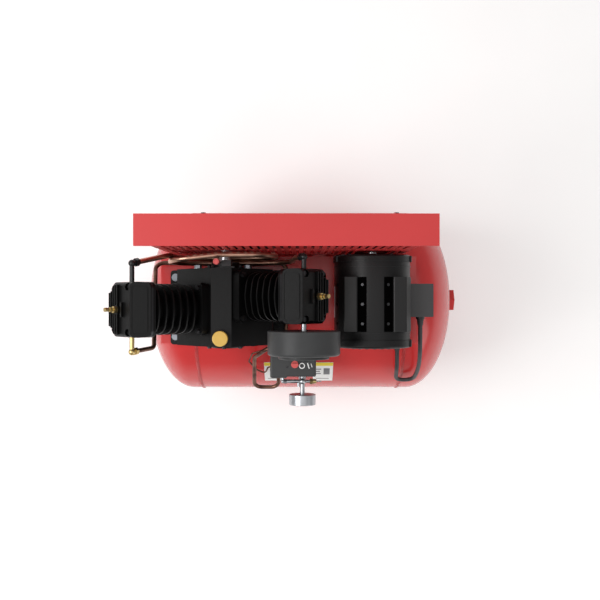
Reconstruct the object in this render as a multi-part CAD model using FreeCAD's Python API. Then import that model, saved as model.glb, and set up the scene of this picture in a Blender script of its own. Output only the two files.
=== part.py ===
import FreeCAD, Part
import math
import os

from FreeCAD import Vector

# Two-stage belt-driven air compressor on a horizontal tank. Millimetres.
# X runs along the tank, +Y points to the belt guard, Z is up from the floor under the tank's centre.

# Tank, feet and platform
TANK_RADIUS = 305.0
TANK_WALL = 5.0
TANK_Z = 400.0
SEAM_X = 333.0
STRAIGHT_END = 365.0
HEAD_DEPTH = TANK_RADIUS / 2
WELD_HALF_WIDTH = 6.0
WELD_HEIGHT = 3.0
COUPLING_RADIUS = 38.5
COUPLING_END = 537.0
FOOT_X = 280.0
FOOT_HOLE_Y = 190.0
FOOT_HOLE_RADIUS = 7.0
FOOT_PLATE = 6.0
FOOT_HALF_WIDTH = 45.0
FOOT_INNER_Y = 130.0
FOOT_OUTER_Y = 225.0
FOOT_WEB_Y = 160.0
PLATFORM_TOP = TANK_Z + 330.0
PLATFORM_X = (-434.0, 363.0)
PLATFORM_HALF_DEPTH = 136.0
PLATFORM_PLATE = 6.0

# Pump
CRANK_X = -223.0
CRANK_Z = TANK_Z + 439.0
CASE_Y = (-133.0, 91.0)
CASE_WALL = 10.0
CASE_HALF_WIDTH = 141.0
RIDGE_HALF_WIDTH = 29.0
SHOULDER_Z = CRANK_Z + 29.0
RIDGE_Z = SHOULDER_Z + CASE_HALF_WIDTH - RIDGE_HALF_WIDTH
CASE_FLANGE_HALF_WIDTH = 178.5
CASE_FLANGE_Y = (-138.0, 92.0)
CASE_FLANGE_HEIGHT = 20.0
BOSS_RADIUS = 43.0
CRANK_THROW = 38.0
ROD_LENGTH = 218.0
ROD_THICKNESS = 16.0
JOURNAL_RADIUS = 20.0
NOSE_RADIUS = 19.0
CRANKPIN_RADIUS = 18.0
BEARING_RADIUS = 40.0
BEARING_WIDTH = 18.0
WRIST_RADIUS = 8.0

# Cylinders: each has its own frame, with Z along the cylinder from the crankcase slope
SLOPE_DISTANCE = 120.2
CYLINDER_Y = {-1: -26.0, 1: 10.0}
BORE_RADIUS = {-1: 27.5, 1: 47.5}
PAD_HEIGHT = 12.0
PAD_SIZE = 144.0
SPIGOT_RADIUS = 58.0
SPIGOT_DEPTH = 16.0
FLANGE_SIZE = 150.0
FLANGE_TOP = 28.0
CORE_RADIUS = 55.0
FIN_SIZE = 143.0
FIN_BOW = 5.0
FIN_SIDE = 38.0
FIN_TURN = 57.0
FIN_THICKNESS = 4.0
FIN_FIRST = 48.0
FIN_PITCH = 24.0
FIN_COUNT = 6
BARREL_TOP = 178.0
DECK = 186.0
VALVE_PLATE = 6.0
HEAD_BASE = DECK + VALVE_PLATE
HEAD_TOP = 238.0
RIB_TOP = 245.0
HEAD_WIDTH = 132.0
HEAD_LENGTH = 150.0
PORT_LEVEL = 210.0
PORT_RADIUS = 5.0

# Drive
FLYWHEEL_RADIUS = 150.0
MOTOR_PULLEY_RADIUS = 66.0
PULLEY_Y = (158.0, 202.0)
GROOVE_Y = (170.0, 190.0)
BELT_TOP_WIDTH = 13.0
BELT_BASE_WIDTH = 8.0
BELT_DEPTH = 8.0
BELT_RECESS = 1.0
BELT_GAP = 0.3
SHAFT_RADIUS = 12.0
RUNNING_GAP = 0.05

# Belt guard
GUARD_X = (-392.0, 315.0)
GUARD_Z = (TANK_Z + 276.0, TANK_Z + 797.0)
GUARD_SHEET = 2.0
GUARD_FRONT_Y = 141.5
GUARD_REAR_Y = 217.0
GUARD_TOP_X = (-428.0, 358.0)
GUARD_TOP_Y = (139.0, 222.0)
GUARD_TOP_Z = TANK_Z + 800.0
GUARD_LIP = 12.0
SLOT_PITCH = 21.0
SLOT_WIDTH = 9.0
SLOT_ROWS = ((TANK_Z + 365.0, TANK_Z + 560.0), (TANK_Z + 578.0, TANK_Z + 773.0))

# Motor
MOTOR_X = 215.0
MOTOR_Z = TANK_Z + 450.0
MOTOR_RADIUS = 112.5
MOTOR_SHELL = 4.0
FLANGE_SHEET = 2.0
MOTOR_SHELL_Y = (-117.0, 112.0)
MOTOR_Y = (-140.0, 132.0)
BELL_RADIUS = 116.0
STATOR_Y = (-62.0, 58.0)
ROTOR_RADIUS = 61.0
AIR_GAP = 1.0
MOTOR_BEARING_RADIUS = 26.0
TERMINAL_Y = (-50.0, 48.0)

# Tubes and fittings
INTERCOOLER_DIAMETER = 15.0
DISCHARGE_DIAMETER = 12.7
UNLOADER_DIAMETER = 5.0
TUBE_WALL = 1.2
CABLE_DIAMETER = 13.0
CORNER_SHARE = 0.45
RING_Y = 128.0
RING_RETURN_Y = 111.5

# Controls in front of the tank
MANIFOLD = Vector(7.6, -257.0, TANK_Z + 300.0)
CHECK_VALVE_ANGLE = 50.0
CHECK_VALVE_X = -70.0
PORT_REACH = 14.0
SWITCH_X = (-91.0, 49.0)
SWITCH_STEP_X = -38.0
SWITCH_Y = (-238.0, -165.0)
SWITCH_Z = (TANK_Z + 290.0, TANK_Z + 306.0, TANK_Z + 400.0)
KNOB = Vector(-16.0, -196.0, TANK_Z + 400.0)
GAUGE_RADIUS = 42.0
GAUGE_BACK_Y = -297.5
GAUGE_FRONT_Y = -331.0

X_AXIS = Vector(1, 0, 0)
Y_AXIS = Vector(0, 1, 0)
Z_AXIS = Vector(0, 0, 1)


def box(x_range, y_range, z_range):
    low = Vector(x_range[0], y_range[0], z_range[0])
    return Part.makeBox(x_range[1] - x_range[0], y_range[1] - y_range[0], z_range[1] - z_range[0], low)


def ball(centre, radius, pole, seam):
    """Sphere with its poles on one direction and its seam turned to another, clear of what joins it."""
    sphere = Part.makeSphere(radius)
    sphere.Placement = FreeCAD.Placement(Vector(centre), FreeCAD.Rotation(seam, Vector(0, 0, 0), pole, "ZXY"))
    return sphere


def cylinder(start, direction, radius, length):
    return Part.makeCylinder(radius, length, Vector(start), Vector(direction))


def ring(start, direction, outer, inner, length):
    return cylinder(start, direction, outer, length).cut(cylinder(start, direction, inner, length))


def placed(shape, start, direction):
    """Turn a shape built along Z to the direction, and move its origin to start."""
    moved = shape.copy()
    moved.Placement = FreeCAD.Placement(Vector(start), FreeCAD.Rotation(Z_AXIS, Vector(direction)))
    return moved


def polygon_prism(points, direction):
    """Extrude the closed outline through the points along the direction vector."""
    corners = [Vector(*point) for point in points]
    return Part.Face(Part.makePolygon(corners + corners[:1])).extrude(Vector(direction))


def hex_prism(start, direction, across_flats, length):
    radius = across_flats / math.sqrt(3.0)
    angles = [math.radians(60 * step) for step in range(6)]
    outline = [(radius * math.cos(angle), radius * math.sin(angle), 0.0) for angle in angles]
    return placed(polygon_prism(outline, (0, 0, length)), start, direction)


def upright_edges(shape):
    return [edge for edge in shape.Edges if abs(edge.tangentAt(edge.FirstParameter).z) > 0.99]


def rounded_block(width, depth, height, radius, base=0.0):
    """Block centred on the Z axis, standing on Z = base, with its upright edges rounded."""
    block = Part.makeBox(width, depth, height, Vector(-width / 2, -depth / 2, base))
    return block.makeFillet(radius, upright_edges(block))


def hex_bolt(start, direction, across_flats, head, shank_radius, shank):
    """Bolt with a washer and a hexagon head standing on the start point, and its shank going back."""
    direction = Vector(direction).normalize()
    washer = cylinder(start, direction, across_flats * 0.62, head * 0.2)
    top = hex_prism(Vector(start) + direction * head * 0.2, direction, across_flats, head)
    stem = cylinder(Vector(start) - direction * shank, direction, shank_radius, shank)
    return washer.fuse([top, stem]).removeSplitter()


def fused(shapes):
    return shapes[0].fuse(shapes[1:]).removeSplitter()


def tangent_wire(points, bend=None, share=CORNER_SHARE):
    """Straight runs joined by tangent arcs, of radius bend or as large as the runs allow."""
    corners = [Vector(point) for point in points]
    edges = []
    radii = []
    start = corners[0]
    for before, corner, after in zip(corners, corners[1:], corners[2:]):
        arriving = corner - before
        leaving = after - corner
        half_turn = arriving.getAngle(leaving) / 2
        reach = share * min(arriving.Length, leaving.Length)
        radius = reach / math.tan(half_turn)
        if bend is not None:
            radius = min(radius, bend)
            reach = radius * math.tan(half_turn)
        arriving.normalize()
        leaving.normalize()
        inward = (leaving - arriving).normalize()
        centre = corner + inward * (radius / math.cos(half_turn))
        arc_start = corner - arriving * reach
        arc_end = corner + leaving * reach
        edges.append(Part.LineSegment(start, arc_start).toShape())
        edges.append(Part.Arc(arc_start, centre - inward * radius, arc_end).toShape())
        radii.append(radius)
        start = arc_end
    edges.append(Part.LineSegment(start, corners[-1]).toShape())
    return Part.Wire(edges), radii


def swept_tube(points, diameter, bend=None, wall=None, share=CORNER_SHARE):
    """Round bar, or a tube if a wall is given, along the points. Returns it with its length and radii."""
    wire, radii = tangent_wire(points, bend, share)
    heading = Vector(points[1]) - Vector(points[0])

    def sweep(radius):
        section = Part.Wire(Part.Circle(Vector(points[0]), heading, radius).toShape())
        return wire.makePipeShell([section], True, False)

    solid = sweep(diameter / 2)
    if wall is not None:
        solid = solid.cut(sweep(diameter / 2 - wall))
    return solid, wire.Length, radii


def tank_outline(radius):
    """Straight line along the top of the barrel, between the elliptical ends."""
    z = TANK_Z + radius
    return [Part.LineSegment(Vector(-STRAIGHT_END, 0, z), Vector(STRAIGHT_END, 0, z)).toShape()]


def welded_outline(radius):
    """The same line with a raised weld bead where each end is joined to the barrel."""
    z = TANK_Z + radius
    edges = []
    start = Vector(-STRAIGHT_END, 0, z)
    for x in (-SEAM_X, SEAM_X):
        foot = Vector(x - WELD_HALF_WIDTH, 0, z)
        toe = Vector(x + WELD_HALF_WIDTH, 0, z)
        edges.append(Part.LineSegment(start, foot).toShape())
        edges.append(Part.Arc(foot, Vector(x, 0, z + WELD_HEIGHT), toe).toShape())
        start = toe
    edges.append(Part.LineSegment(start, Vector(STRAIGHT_END, 0, z)).toShape())
    return edges


def tank_solid(inset, outline=tank_outline):
    """The barrel's outline, closed by a quarter ellipse at each end and turned about its axis."""
    radius = TANK_RADIUS - inset
    crown = Vector(STRAIGHT_END, 0, TANK_Z + radius)
    tip = Vector(STRAIGHT_END + HEAD_DEPTH - inset, 0, TANK_Z)
    quarter = Part.Ellipse(crown, tip, Vector(STRAIGHT_END, 0, TANK_Z)).toBSpline(0, math.pi / 2)
    right = quarter.toShape()
    left = right.mirror(Vector(0, 0, 0), X_AXIS)
    axis = Part.LineSegment(tip, Vector(-tip.x, 0, tip.z)).toShape()
    wire = Part.Wire(Part.__sortEdges__([left, right, axis] + outline(radius)))
    return Part.Face(wire).revolve(Vector(0, 0, TANK_Z), X_AXIS, 360)


def tank_foot(x, side):
    """Bent steel leg under the tank: sole plate, outer plate and two webs, cut to the barrel."""
    y_outer = side * FOOT_OUTER_Y
    y_plate = side * (FOOT_OUTER_Y - 25.0)
    x_range = (x - FOOT_HALF_WIDTH, x + FOOT_HALF_WIDTH)
    sole = box(x_range, sorted((side * FOOT_WEB_Y, y_outer)), (0.0, FOOT_PLATE))
    wall_y = sorted((y_plate, y_plate + side * FOOT_PLATE))
    wall = box(x_range, wall_y, (0.0, TANK_Z))
    webs = []
    for edge in (x_range[0], x_range[1] - FOOT_PLATE):
        outline = [
            (edge, y_plate, 0.0),
            (edge, side * FOOT_WEB_Y, 0.0),
            (edge, side * FOOT_INNER_Y, TANK_Z - 250.0),
            (edge, side * FOOT_INNER_Y, TANK_Z),
            (edge, y_plate, TANK_Z),
        ]
        webs.append(polygon_prism(outline, (FOOT_PLATE, 0, 0)))
    barrel = cylinder((x - 2 * FOOT_HALF_WIDTH, 0, TANK_Z), X_AXIS, TANK_RADIUS, 4 * FOOT_HALF_WIDTH)
    above = box((x - 100, x + 100), (-400, 400), (TANK_Z - 190.0, TANK_Z + 10))
    hole = cylinder((x, side * FOOT_HOLE_Y, -1), Z_AXIS, FOOT_HOLE_RADIUS, FOOT_PLATE + 2)
    return fused([sole, wall] + webs).cut(barrel).cut(above).cut(hole)


def platform():
    """Inverted steel channel saddled on the tank."""
    outer = box(PLATFORM_X, (-PLATFORM_HALF_DEPTH, PLATFORM_HALF_DEPTH), (PLATFORM_TOP - 70.0, PLATFORM_TOP))
    inner_depth = PLATFORM_HALF_DEPTH - PLATFORM_PLATE
    inner_x = (PLATFORM_X[0] - 1, PLATFORM_X[1] + 1)
    inner = box(inner_x, (-inner_depth, inner_depth), (0.0, PLATFORM_TOP - PLATFORM_PLATE))
    channel = outer.cut(inner).cut(tank_solid(0.0))
    for x in (-SEAM_X, SEAM_X):
        bead_room = cylinder((x - 12, 0, TANK_Z), X_AXIS, TANK_RADIUS + WELD_HEIGHT + 1, 24)
        channel = channel.cut(bead_room)
    lug_y = (PLATFORM_HALF_DEPTH - 1, GUARD_FRONT_Y)
    lugs = [box((x - 18, x + 18), lug_y, (PLATFORM_TOP - 44, PLATFORM_TOP - 8)) for x in guard_lug_places()]
    holes = [cylinder((x, y, PLATFORM_TOP - 10), Z_AXIS, 6.5, 20) for x, y in case_bolts() + motor_bolts()]
    return fused([channel] + lugs).cut(Part.Compound(holes))


def guard_lug_places():
    return (-372.0, 60.0, 288.0)


def case_bolts():
    return [(CRANK_X + side * 163.0, y) for side in (-1, 1) for y in (-113.0, 70.0)]


def motor_bolts():
    return [(MOTOR_X + side * 92.0, y) for side in (-1, 1) for y in (-75.0, 75.0)]


def make_tank():
    vessel = tank_solid(0.0, welded_outline).cut(tank_solid(TANK_WALL))
    outside = tank_solid(0.0)
    couplings = []
    for side in (-1, 1):
        neck = cylinder((side * 495.0, 0, TANK_Z), X_AXIS * side, COUPLING_RADIUS, 27.0).cut(outside)
        plug = hex_prism((side * 522.0, 0, TANK_Z), X_AXIS * side, 2 * COUPLING_RADIUS - 7, COUPLING_END - 522.0)
        couplings.append(neck.fuse(plug).removeSplitter())
    feet = [tank_foot(x, side) for x in (-FOOT_X, FOOT_X) for side in (-1, 1)]
    return {
        "tank_vessel": vessel,
        "end_plugs": Part.Compound(couplings),
        "tank_feet": Part.Compound(feet),
        "platform": platform(),
    }


def make_tank_drain():
    bottom = TANK_Z - TANK_RADIUS
    level = bottom - 26.0
    neck = cylinder((0, 0, level), Z_AXIS, 9.0, bottom + 4.0 - level).cut(tank_solid(0.0))
    body = hex_prism((-18, 0, level), X_AXIS, 24.0, 36.0)
    spout = cylinder((18, 0, level), X_AXIS, 8.0, 16.0)
    bore = cylinder((-10, 0, level), X_AXIS, 4.5, 60.0)
    bonnet = cylinder((0, -12, level), -Y_AXIS, 6.0, 6.0)
    stem_hole = cylinder((0, -6, level), -Y_AXIS, 2.5 + RUNNING_GAP, 20.0)
    valve = fused([neck, body, spout, bonnet]).cut(bore).cut(stem_hole)
    stem = cylinder((0, -8, level), -Y_AXIS, 2.5, 18.0)
    lever = placed(rounded_block(56.0, 12.0, 3.0, 5.5), (20.0, -19.0, level), -Y_AXIS)
    return {"drain_valve": valve, "drain_handle": stem.fuse(lever).removeSplitter()}


def case_outline(inset, base):
    wall = CASE_HALF_WIDTH - inset
    ridge = RIDGE_HALF_WIDTH - inset * 0.4
    shoulder = SHOULDER_Z - inset * 0.4
    top = shoulder + wall - ridge
    right = [(wall, base), (wall, shoulder), (ridge, top)]
    return [(CRANK_X + x, z) for x, z in right] + [(CRANK_X - x, z) for x, z in reversed(right)]


def case_prism(inset, base, y_range):
    outline = [(x, y_range[0], z) for x, z in case_outline(inset, base)]
    return polygon_prism(outline, (0, y_range[1] - y_range[0], 0))


def on_cylinder(shape, side):
    """Place a shape built in a cylinder's own frame: Z out along the bore, Y along the crankshaft."""
    lift = FreeCAD.Placement(Vector(0, 0, SLOPE_DISTANCE), FreeCAD.Rotation())
    turn = FreeCAD.Rotation(Y_AXIS, 45.0 * side)
    frame = FreeCAD.Placement(Vector(CRANK_X, CYLINDER_Y[side], CRANK_Z), turn)
    moved = shape.copy()
    moved.Placement = frame.multiply(lift).multiply(shape.Placement)
    return moved


def crank_line(radius, y_range):
    return cylinder((CRANK_X, y_range[0], CRANK_Z), Y_AXIS, radius, y_range[1] - y_range[0])


def ring_of_bolts(count, radius, y, direction, size):
    bolts = []
    for step in range(count):
        angle = 2 * math.pi * (step + 0.5) / count
        start = (CRANK_X + radius * math.cos(angle), y, CRANK_Z + radius * math.sin(angle))
        bolts.append(hex_bolt(start, direction, size, size * 0.5, size * 0.3, 8.0))
    return bolts


def wall_bolt_places():
    """The two bolts high on the crankcase's rear wall."""
    return [Vector(CRANK_X + side * 72.0, CASE_Y[1], CRANK_Z + 81.0) for side in (-1, 1)]


def make_crankcase():
    body = case_prism(0.0, PLATFORM_TOP, CASE_Y)
    flange_x = (CRANK_X - CASE_FLANGE_HALF_WIDTH, CRANK_X + CASE_FLANGE_HALF_WIDTH)
    flange = box(flange_x, CASE_FLANGE_Y, (PLATFORM_TOP, PLATFORM_TOP + CASE_FLANGE_HEIGHT))
    flange = flange.makeFillet(10.0, upright_edges(flange))
    pads = [on_cylinder(rounded_block(PAD_SIZE, PAD_SIZE, PAD_HEIGHT + 2, 14.0, -2.0), side) for side in (-1, 1)]
    oil_boss = cylinder((CRANK_X - 2, -109, RIDGE_Z - 5), Z_AXIS, 25.0, 10.0)
    case = fused([body, flange, oil_boss] + pads)
    cavity = case_prism(CASE_WALL, PLATFORM_TOP + CASE_WALL, (CASE_Y[0] + CASE_WALL, CASE_Y[1] - CASE_WALL))
    bores = [on_cylinder(cylinder((0, 0, -40), Z_AXIS, SPIGOT_RADIUS, 80), side) for side in (-1, 1)]
    crank_hole = crank_line(BEARING_RADIUS, (CASE_Y[0] - 1, CASE_Y[1] + 1))
    oil_hole = cylinder((CRANK_X - 2, -109, RIDGE_Z - 40), Z_AXIS, 15.0, 60.0)
    bolt_holes = [cylinder((x, y, PLATFORM_TOP - 1), Z_AXIS, 6.5, 40) for x, y in case_bolts()]
    bolt_holes += [cylinder(place - Y_AXIS * 9.0, Y_AXIS, 6.5, 10.0) for place in wall_bolt_places()]
    return case.cut(Part.Compound([cavity, crank_hole, oil_hole] + bores + bolt_holes))


def end_cover(y, side, boss_end, shaft_hole):
    """Round bearing cover on a crankcase end wall, with a stepped boss around the shaft."""
    plate = cylinder((CRANK_X, y, CRANK_Z), Y_AXIS * side, 62.0, 5.0)
    boss = cylinder((CRANK_X, y, CRANK_Z), Y_AXIS * side, BOSS_RADIUS, abs(boss_end - y))
    rim = [edge for edge in boss.Edges if abs(edge.CenterOfMass.y - boss_end) < 0.01 and edge.Closed]
    boss = boss.makeChamfer(3.5, rim)
    cover = plate.fuse(boss).removeSplitter()
    hollow = cylinder((CRANK_X, y, CRANK_Z), Y_AXIS * side, shaft_hole, abs(boss_end - y) * 2)
    if shaft_hole < NOSE_RADIUS:
        return cover
    return cover.cut(hollow)


def make_crank_train():
    """Crankshaft with the throw at the top, two rods on one pin, their pistons and pins."""
    pin_z = CRANK_Z + CRANK_THROW
    web_gap = (CYLINDER_Y[-1] - ROD_THICKNESS / 2 - 10.5, CYLINDER_Y[1] + ROD_THICKNESS / 2 + 10.5)
    front = crank_line(JOURNAL_RADIUS, (CASE_Y[0] + 1.0, web_gap[0]))
    rear = crank_line(JOURNAL_RADIUS, (web_gap[1], CASE_Y[1] - 1.0))
    nose = crank_line(NOSE_RADIUS, (CASE_Y[1] - 1.0, PULLEY_Y[1] + 4.0))
    webs = []
    for y in (web_gap[0] - 14.0, web_gap[1]):
        web = rounded_block(62.0, 130.0, 14.0, 24.0)
        web = placed(web, (CRANK_X, y, CRANK_Z), Y_AXIS)
        webs.append(web)
    pin = cylinder((CRANK_X, web_gap[0], pin_z), Y_AXIS, CRANKPIN_RADIUS, web_gap[1] - web_gap[0])
    shaft = fused([front, rear, nose, pin] + webs)
    rods = []
    pistons = []
    pins = []
    for side in (-1, 1):
        y = CYLINDER_Y[side]
        across = CRANK_THROW * math.sin(math.radians(45))
        reach = across + math.sqrt(ROD_LENGTH ** 2 - across ** 2)
        direction = Vector(side * math.sin(math.radians(45)), 0, math.cos(math.radians(45)))
        wrist = Vector(CRANK_X, y, CRANK_Z) + direction * reach
        big = Vector(CRANK_X, y, pin_z)
        thick = ROD_THICKNESS
        offset = Y_AXIS * (thick / 2)
        big_eye = ring(big - offset, Y_AXIS, 29.0, CRANKPIN_RADIUS, thick)
        small_eye = ring(wrist - offset, Y_AXIS, 14.0, WRIST_RADIUS, thick)
        beam = Part.makeBox(18.0, 8.0, ROD_LENGTH - 37.0, Vector(-9.0, -4.0, 26.0))
        beam = placed(beam, big, wrist - big)
        rods.append(fused([big_eye, small_eye, beam.cut(cylinder(big - offset, Y_AXIS, CRANKPIN_RADIUS, thick))]))
        level = reach - SLOPE_DISTANCE
        radius = BORE_RADIUS[side] - 0.05
        crown = cylinder((0, 0, level - 30), Z_AXIS, radius, 75.0)
        hollow = cylinder((0, 0, level - 31), Z_AXIS, radius - 5.0, 66.0)
        pin_hole = cylinder((0, -60, level), Y_AXIS, WRIST_RADIUS, 120)
        grooves = [ring((0, 0, level + z), Z_AXIS, radius + 1, radius - 3.0, 2.5) for z in (27.0, 35.0)]
        piston = crown.cut(Part.Compound([hollow, pin_hole] + grooves))
        pistons.append(on_cylinder(piston, side))
        pins.append(on_cylinder(cylinder((0, -radius + 2, level), Y_AXIS, WRIST_RADIUS, 2 * radius - 4), side))
    return {
        "crankshaft": shaft,
        "con_rods": Part.Compound(rods),
        "pistons": Part.Compound(pistons),
        "wrist_pins": Part.Compound(pins),
    }


def fin_plate(level):
    """Square cooling fin with bowed sides and rounded corners."""
    half = FIN_SIZE / 2 - FIN_BOW
    edges = []
    for step in range(4):
        turn = FreeCAD.Rotation(Z_AXIS, 90.0 * step)
        side = [Vector(half, -FIN_SIDE, 0), Vector(FIN_SIZE / 2, 0, 0), Vector(half, FIN_SIDE, 0)]
        corner = [Vector(half, FIN_SIDE, 0), Vector(FIN_TURN, FIN_TURN, 0), Vector(FIN_SIDE, half, 0)]
        for points in (side, corner):
            edges.append(Part.Arc(*[turn.multVec(point) for point in points]).toShape())
    fin = Part.Face(Part.Wire(edges)).extrude(Vector(0, 0, FIN_THICKNESS))
    fin.translate(Vector(0, 0, level))
    return fin


def finned_cylinder(side):
    spigot = cylinder((0, 0, -SPIGOT_DEPTH), Z_AXIS, SPIGOT_RADIUS, SPIGOT_DEPTH + PAD_HEIGHT)
    flange = rounded_block(FLANGE_SIZE, FLANGE_SIZE, FLANGE_TOP - PAD_HEIGHT, 15.0, PAD_HEIGHT)
    core = cylinder((0, 0, FLANGE_TOP), Z_AXIS, CORE_RADIUS, BARREL_TOP - FLANGE_TOP)
    deck = rounded_block(HEAD_WIDTH, HEAD_LENGTH, DECK - BARREL_TOP, 18.0, BARREL_TOP)
    fins = []
    for step in range(FIN_COUNT):
        level = FIN_FIRST + FIN_PITCH * step
        fins.append(fin_plate(level))
    bore = cylinder((0, 0, -50), Z_AXIS, BORE_RADIUS[side], 300)
    return on_cylinder(fused([spigot, flange, core, deck] + fins).cut(bore), side)


def head_bolt_places(side):
    return [(x, y) for x in (side * 52.0, -side * 19.0) for y in (-62.0, 62.0)]


def cylinder_head(side):
    """Cast head: two chambers, thin ribs across the outer end, and a framed pad on a sloped upper shoulder."""
    upper = -side
    block = rounded_block(HEAD_WIDTH, HEAD_LENGTH, HEAD_TOP - HEAD_BASE, 20.0, HEAD_BASE)
    outer_rim = [edge for edge in block.Edges if abs(edge.CenterOfMass.z - HEAD_TOP) < 0.01]
    block = block.makeFillet(13.0, outer_rim)
    shoulder_low = Vector(upper * (HEAD_WIDTH / 2 + 0.5), 0, HEAD_BASE + 1.0)
    shoulder_high = Vector(upper * 31.0, 0, HEAD_TOP + 0.5)
    rise = shoulder_high - shoulder_low
    normal = Vector(upper * rise.z, 0, -upper * rise.x)
    wedge = [shoulder_low - rise, shoulder_high + rise, shoulder_high + rise + normal, shoulder_low - rise + normal]
    wedge = [Vector(point.x, -HEAD_LENGTH, point.z) for point in wedge]
    block = block.cut(polygon_prism(wedge, (0, 2 * HEAD_LENGTH, 0)))
    ribs = []
    for x, half_length in ((59.0, 46.0), (50.0, 50.0), (39.0, 65.0), (30.0, 67.0), (21.0, 68.0)):
        rib = rounded_block(3.6, 2 * half_length, RIB_TOP - HEAD_TOP + 12.0, 1.5, HEAD_TOP - 12.0)
        rib.translate(Vector(side * x, 0, 0))
        ribs.append(rib)
    short_rib = rounded_block(6.0, 40.0, RIB_TOP - HEAD_TOP + 4.0, 2.0, HEAD_TOP - 4.0)
    short_rib.translate(Vector(side * 2.0, 0, 0))
    middle = cylinder((side * 25.0, 0, HEAD_TOP - 10), Z_AXIS, 12.0, RIB_TOP - HEAD_TOP + 10)
    frame = rounded_block(54.0, 146.0, 4.0, 13.0)
    groove = rounded_block(46.0, 134.0, 7.0, 10.0).cut(rounded_block(38.0, 122.0, 7.0, 9.0))
    groove.translate(Vector(0, 0, 1.0))
    pad = rounded_block(37.0, 121.0, 5.5, 8.5)
    window = frame.cut(groove).fuse(pad)
    seat = (shoulder_low + shoulder_high) * 0.5 - Vector(normal).normalize() * 1.5
    window = window.copy()
    window.Placement = FreeCAD.Placement(seat, FreeCAD.Rotation(Z_AXIS, normal))
    solid = fused([block, short_rib, middle, window] + ribs)
    pockets = [
        box(sorted((side * 44, upper * 25)), (-50, -5), (HEAD_BASE - 1, HEAD_TOP - 10)),
        box(sorted((side * 44, upper * 25)), (5, 50), (HEAD_BASE - 1, HEAD_TOP - 10)),
    ]
    ports = [cylinder((0, 45, PORT_LEVEL), Y_AXIS, PORT_RADIUS, 40), cylinder((0, -45, PORT_LEVEL), -Y_AXIS, PORT_RADIUS, 40)]
    seats = [cylinder((x, y, HEAD_TOP - 14), Z_AXIS, 10.5, 40) for x, y in head_bolt_places(side)]
    holes = [cylinder((x, y, HEAD_BASE - 1), Z_AXIS, 4.5, 60) for x, y in head_bolt_places(side)]
    return on_cylinder(solid.cut(Part.Compound(pockets + ports + seats + holes)), side)


def valve_plate(side):
    plate = rounded_block(HEAD_WIDTH, HEAD_LENGTH, VALVE_PLATE, 18.0, DECK)
    ports = [cylinder((x, y, DECK - 1), Z_AXIS, 4.0, 20) for x in (-9.0, 9.0) for y in (-16.0, 16.0)]
    holes = [cylinder((x, y, DECK - 1), Z_AXIS, 4.5, 20) for x, y in head_bolt_places(side)]
    return on_cylinder(plate.cut(Part.Compound(ports + holes)), side)


def relief_valve(side):
    x = side * 25.0
    seat = hex_prism((x, 0, RIB_TOP), Z_AXIS, 17.0, 9.0)
    stem = cylinder((x, 0, RIB_TOP + 9.0), Z_AXIS, 4.5, 12.0)
    collar = cylinder((x, 0, RIB_TOP + 14.0), Z_AXIS, 6.5, 5.0)
    cap = hex_prism((x, 0, RIB_TOP + 24.0), Z_AXIS, 11.0, 11.0)
    neck = cylinder((x, 0, RIB_TOP + 21.0), Z_AXIS, 3.0, 3.0)
    return on_cylinder(fused([seat, stem, collar, neck, cap]), side)


def make_top_end():
    head_bolts = []
    nuts = []
    for side in (-1, 1):
        for x, y in head_bolt_places(side):
            bolt = hex_bolt((x, y, HEAD_TOP - 14), Z_AXIS, 13.0, 7.0, 4.0, HEAD_TOP - 14 - DECK)
            head_bolts.append(on_cylinder(bolt, side))
        for x in (-61.0, 61.0):
            for y in (-61.0, 61.0):
                nuts.append(on_cylinder(hex_bolt((x, y, FLANGE_TOP), Z_AXIS, 13.0, 8.0, 3.0, 0.5), side))
    nut_room = [on_cylinder(cylinder((x, y, FLANGE_TOP - 0.5), Z_AXIS, 3.0, 1.0), side)
                for side in (-1, 1) for x in (-61.0, 61.0) for y in (-61.0, 61.0)]
    left = finned_cylinder(-1).cut(Part.Compound(nut_room))
    right = finned_cylinder(1).cut(Part.Compound(nut_room))
    return {
        "cylinders": Part.Compound([left, right]),
        "valve_plates": Part.Compound([valve_plate(-1), valve_plate(1)]),
        "cylinder_heads": Part.Compound([cylinder_head(-1), cylinder_head(1)]),
        "head_bolts": Part.Compound(head_bolts + nuts),
        "relief_valves": Part.Compound([relief_valve(-1), relief_valve(1)]),
    }


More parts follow.
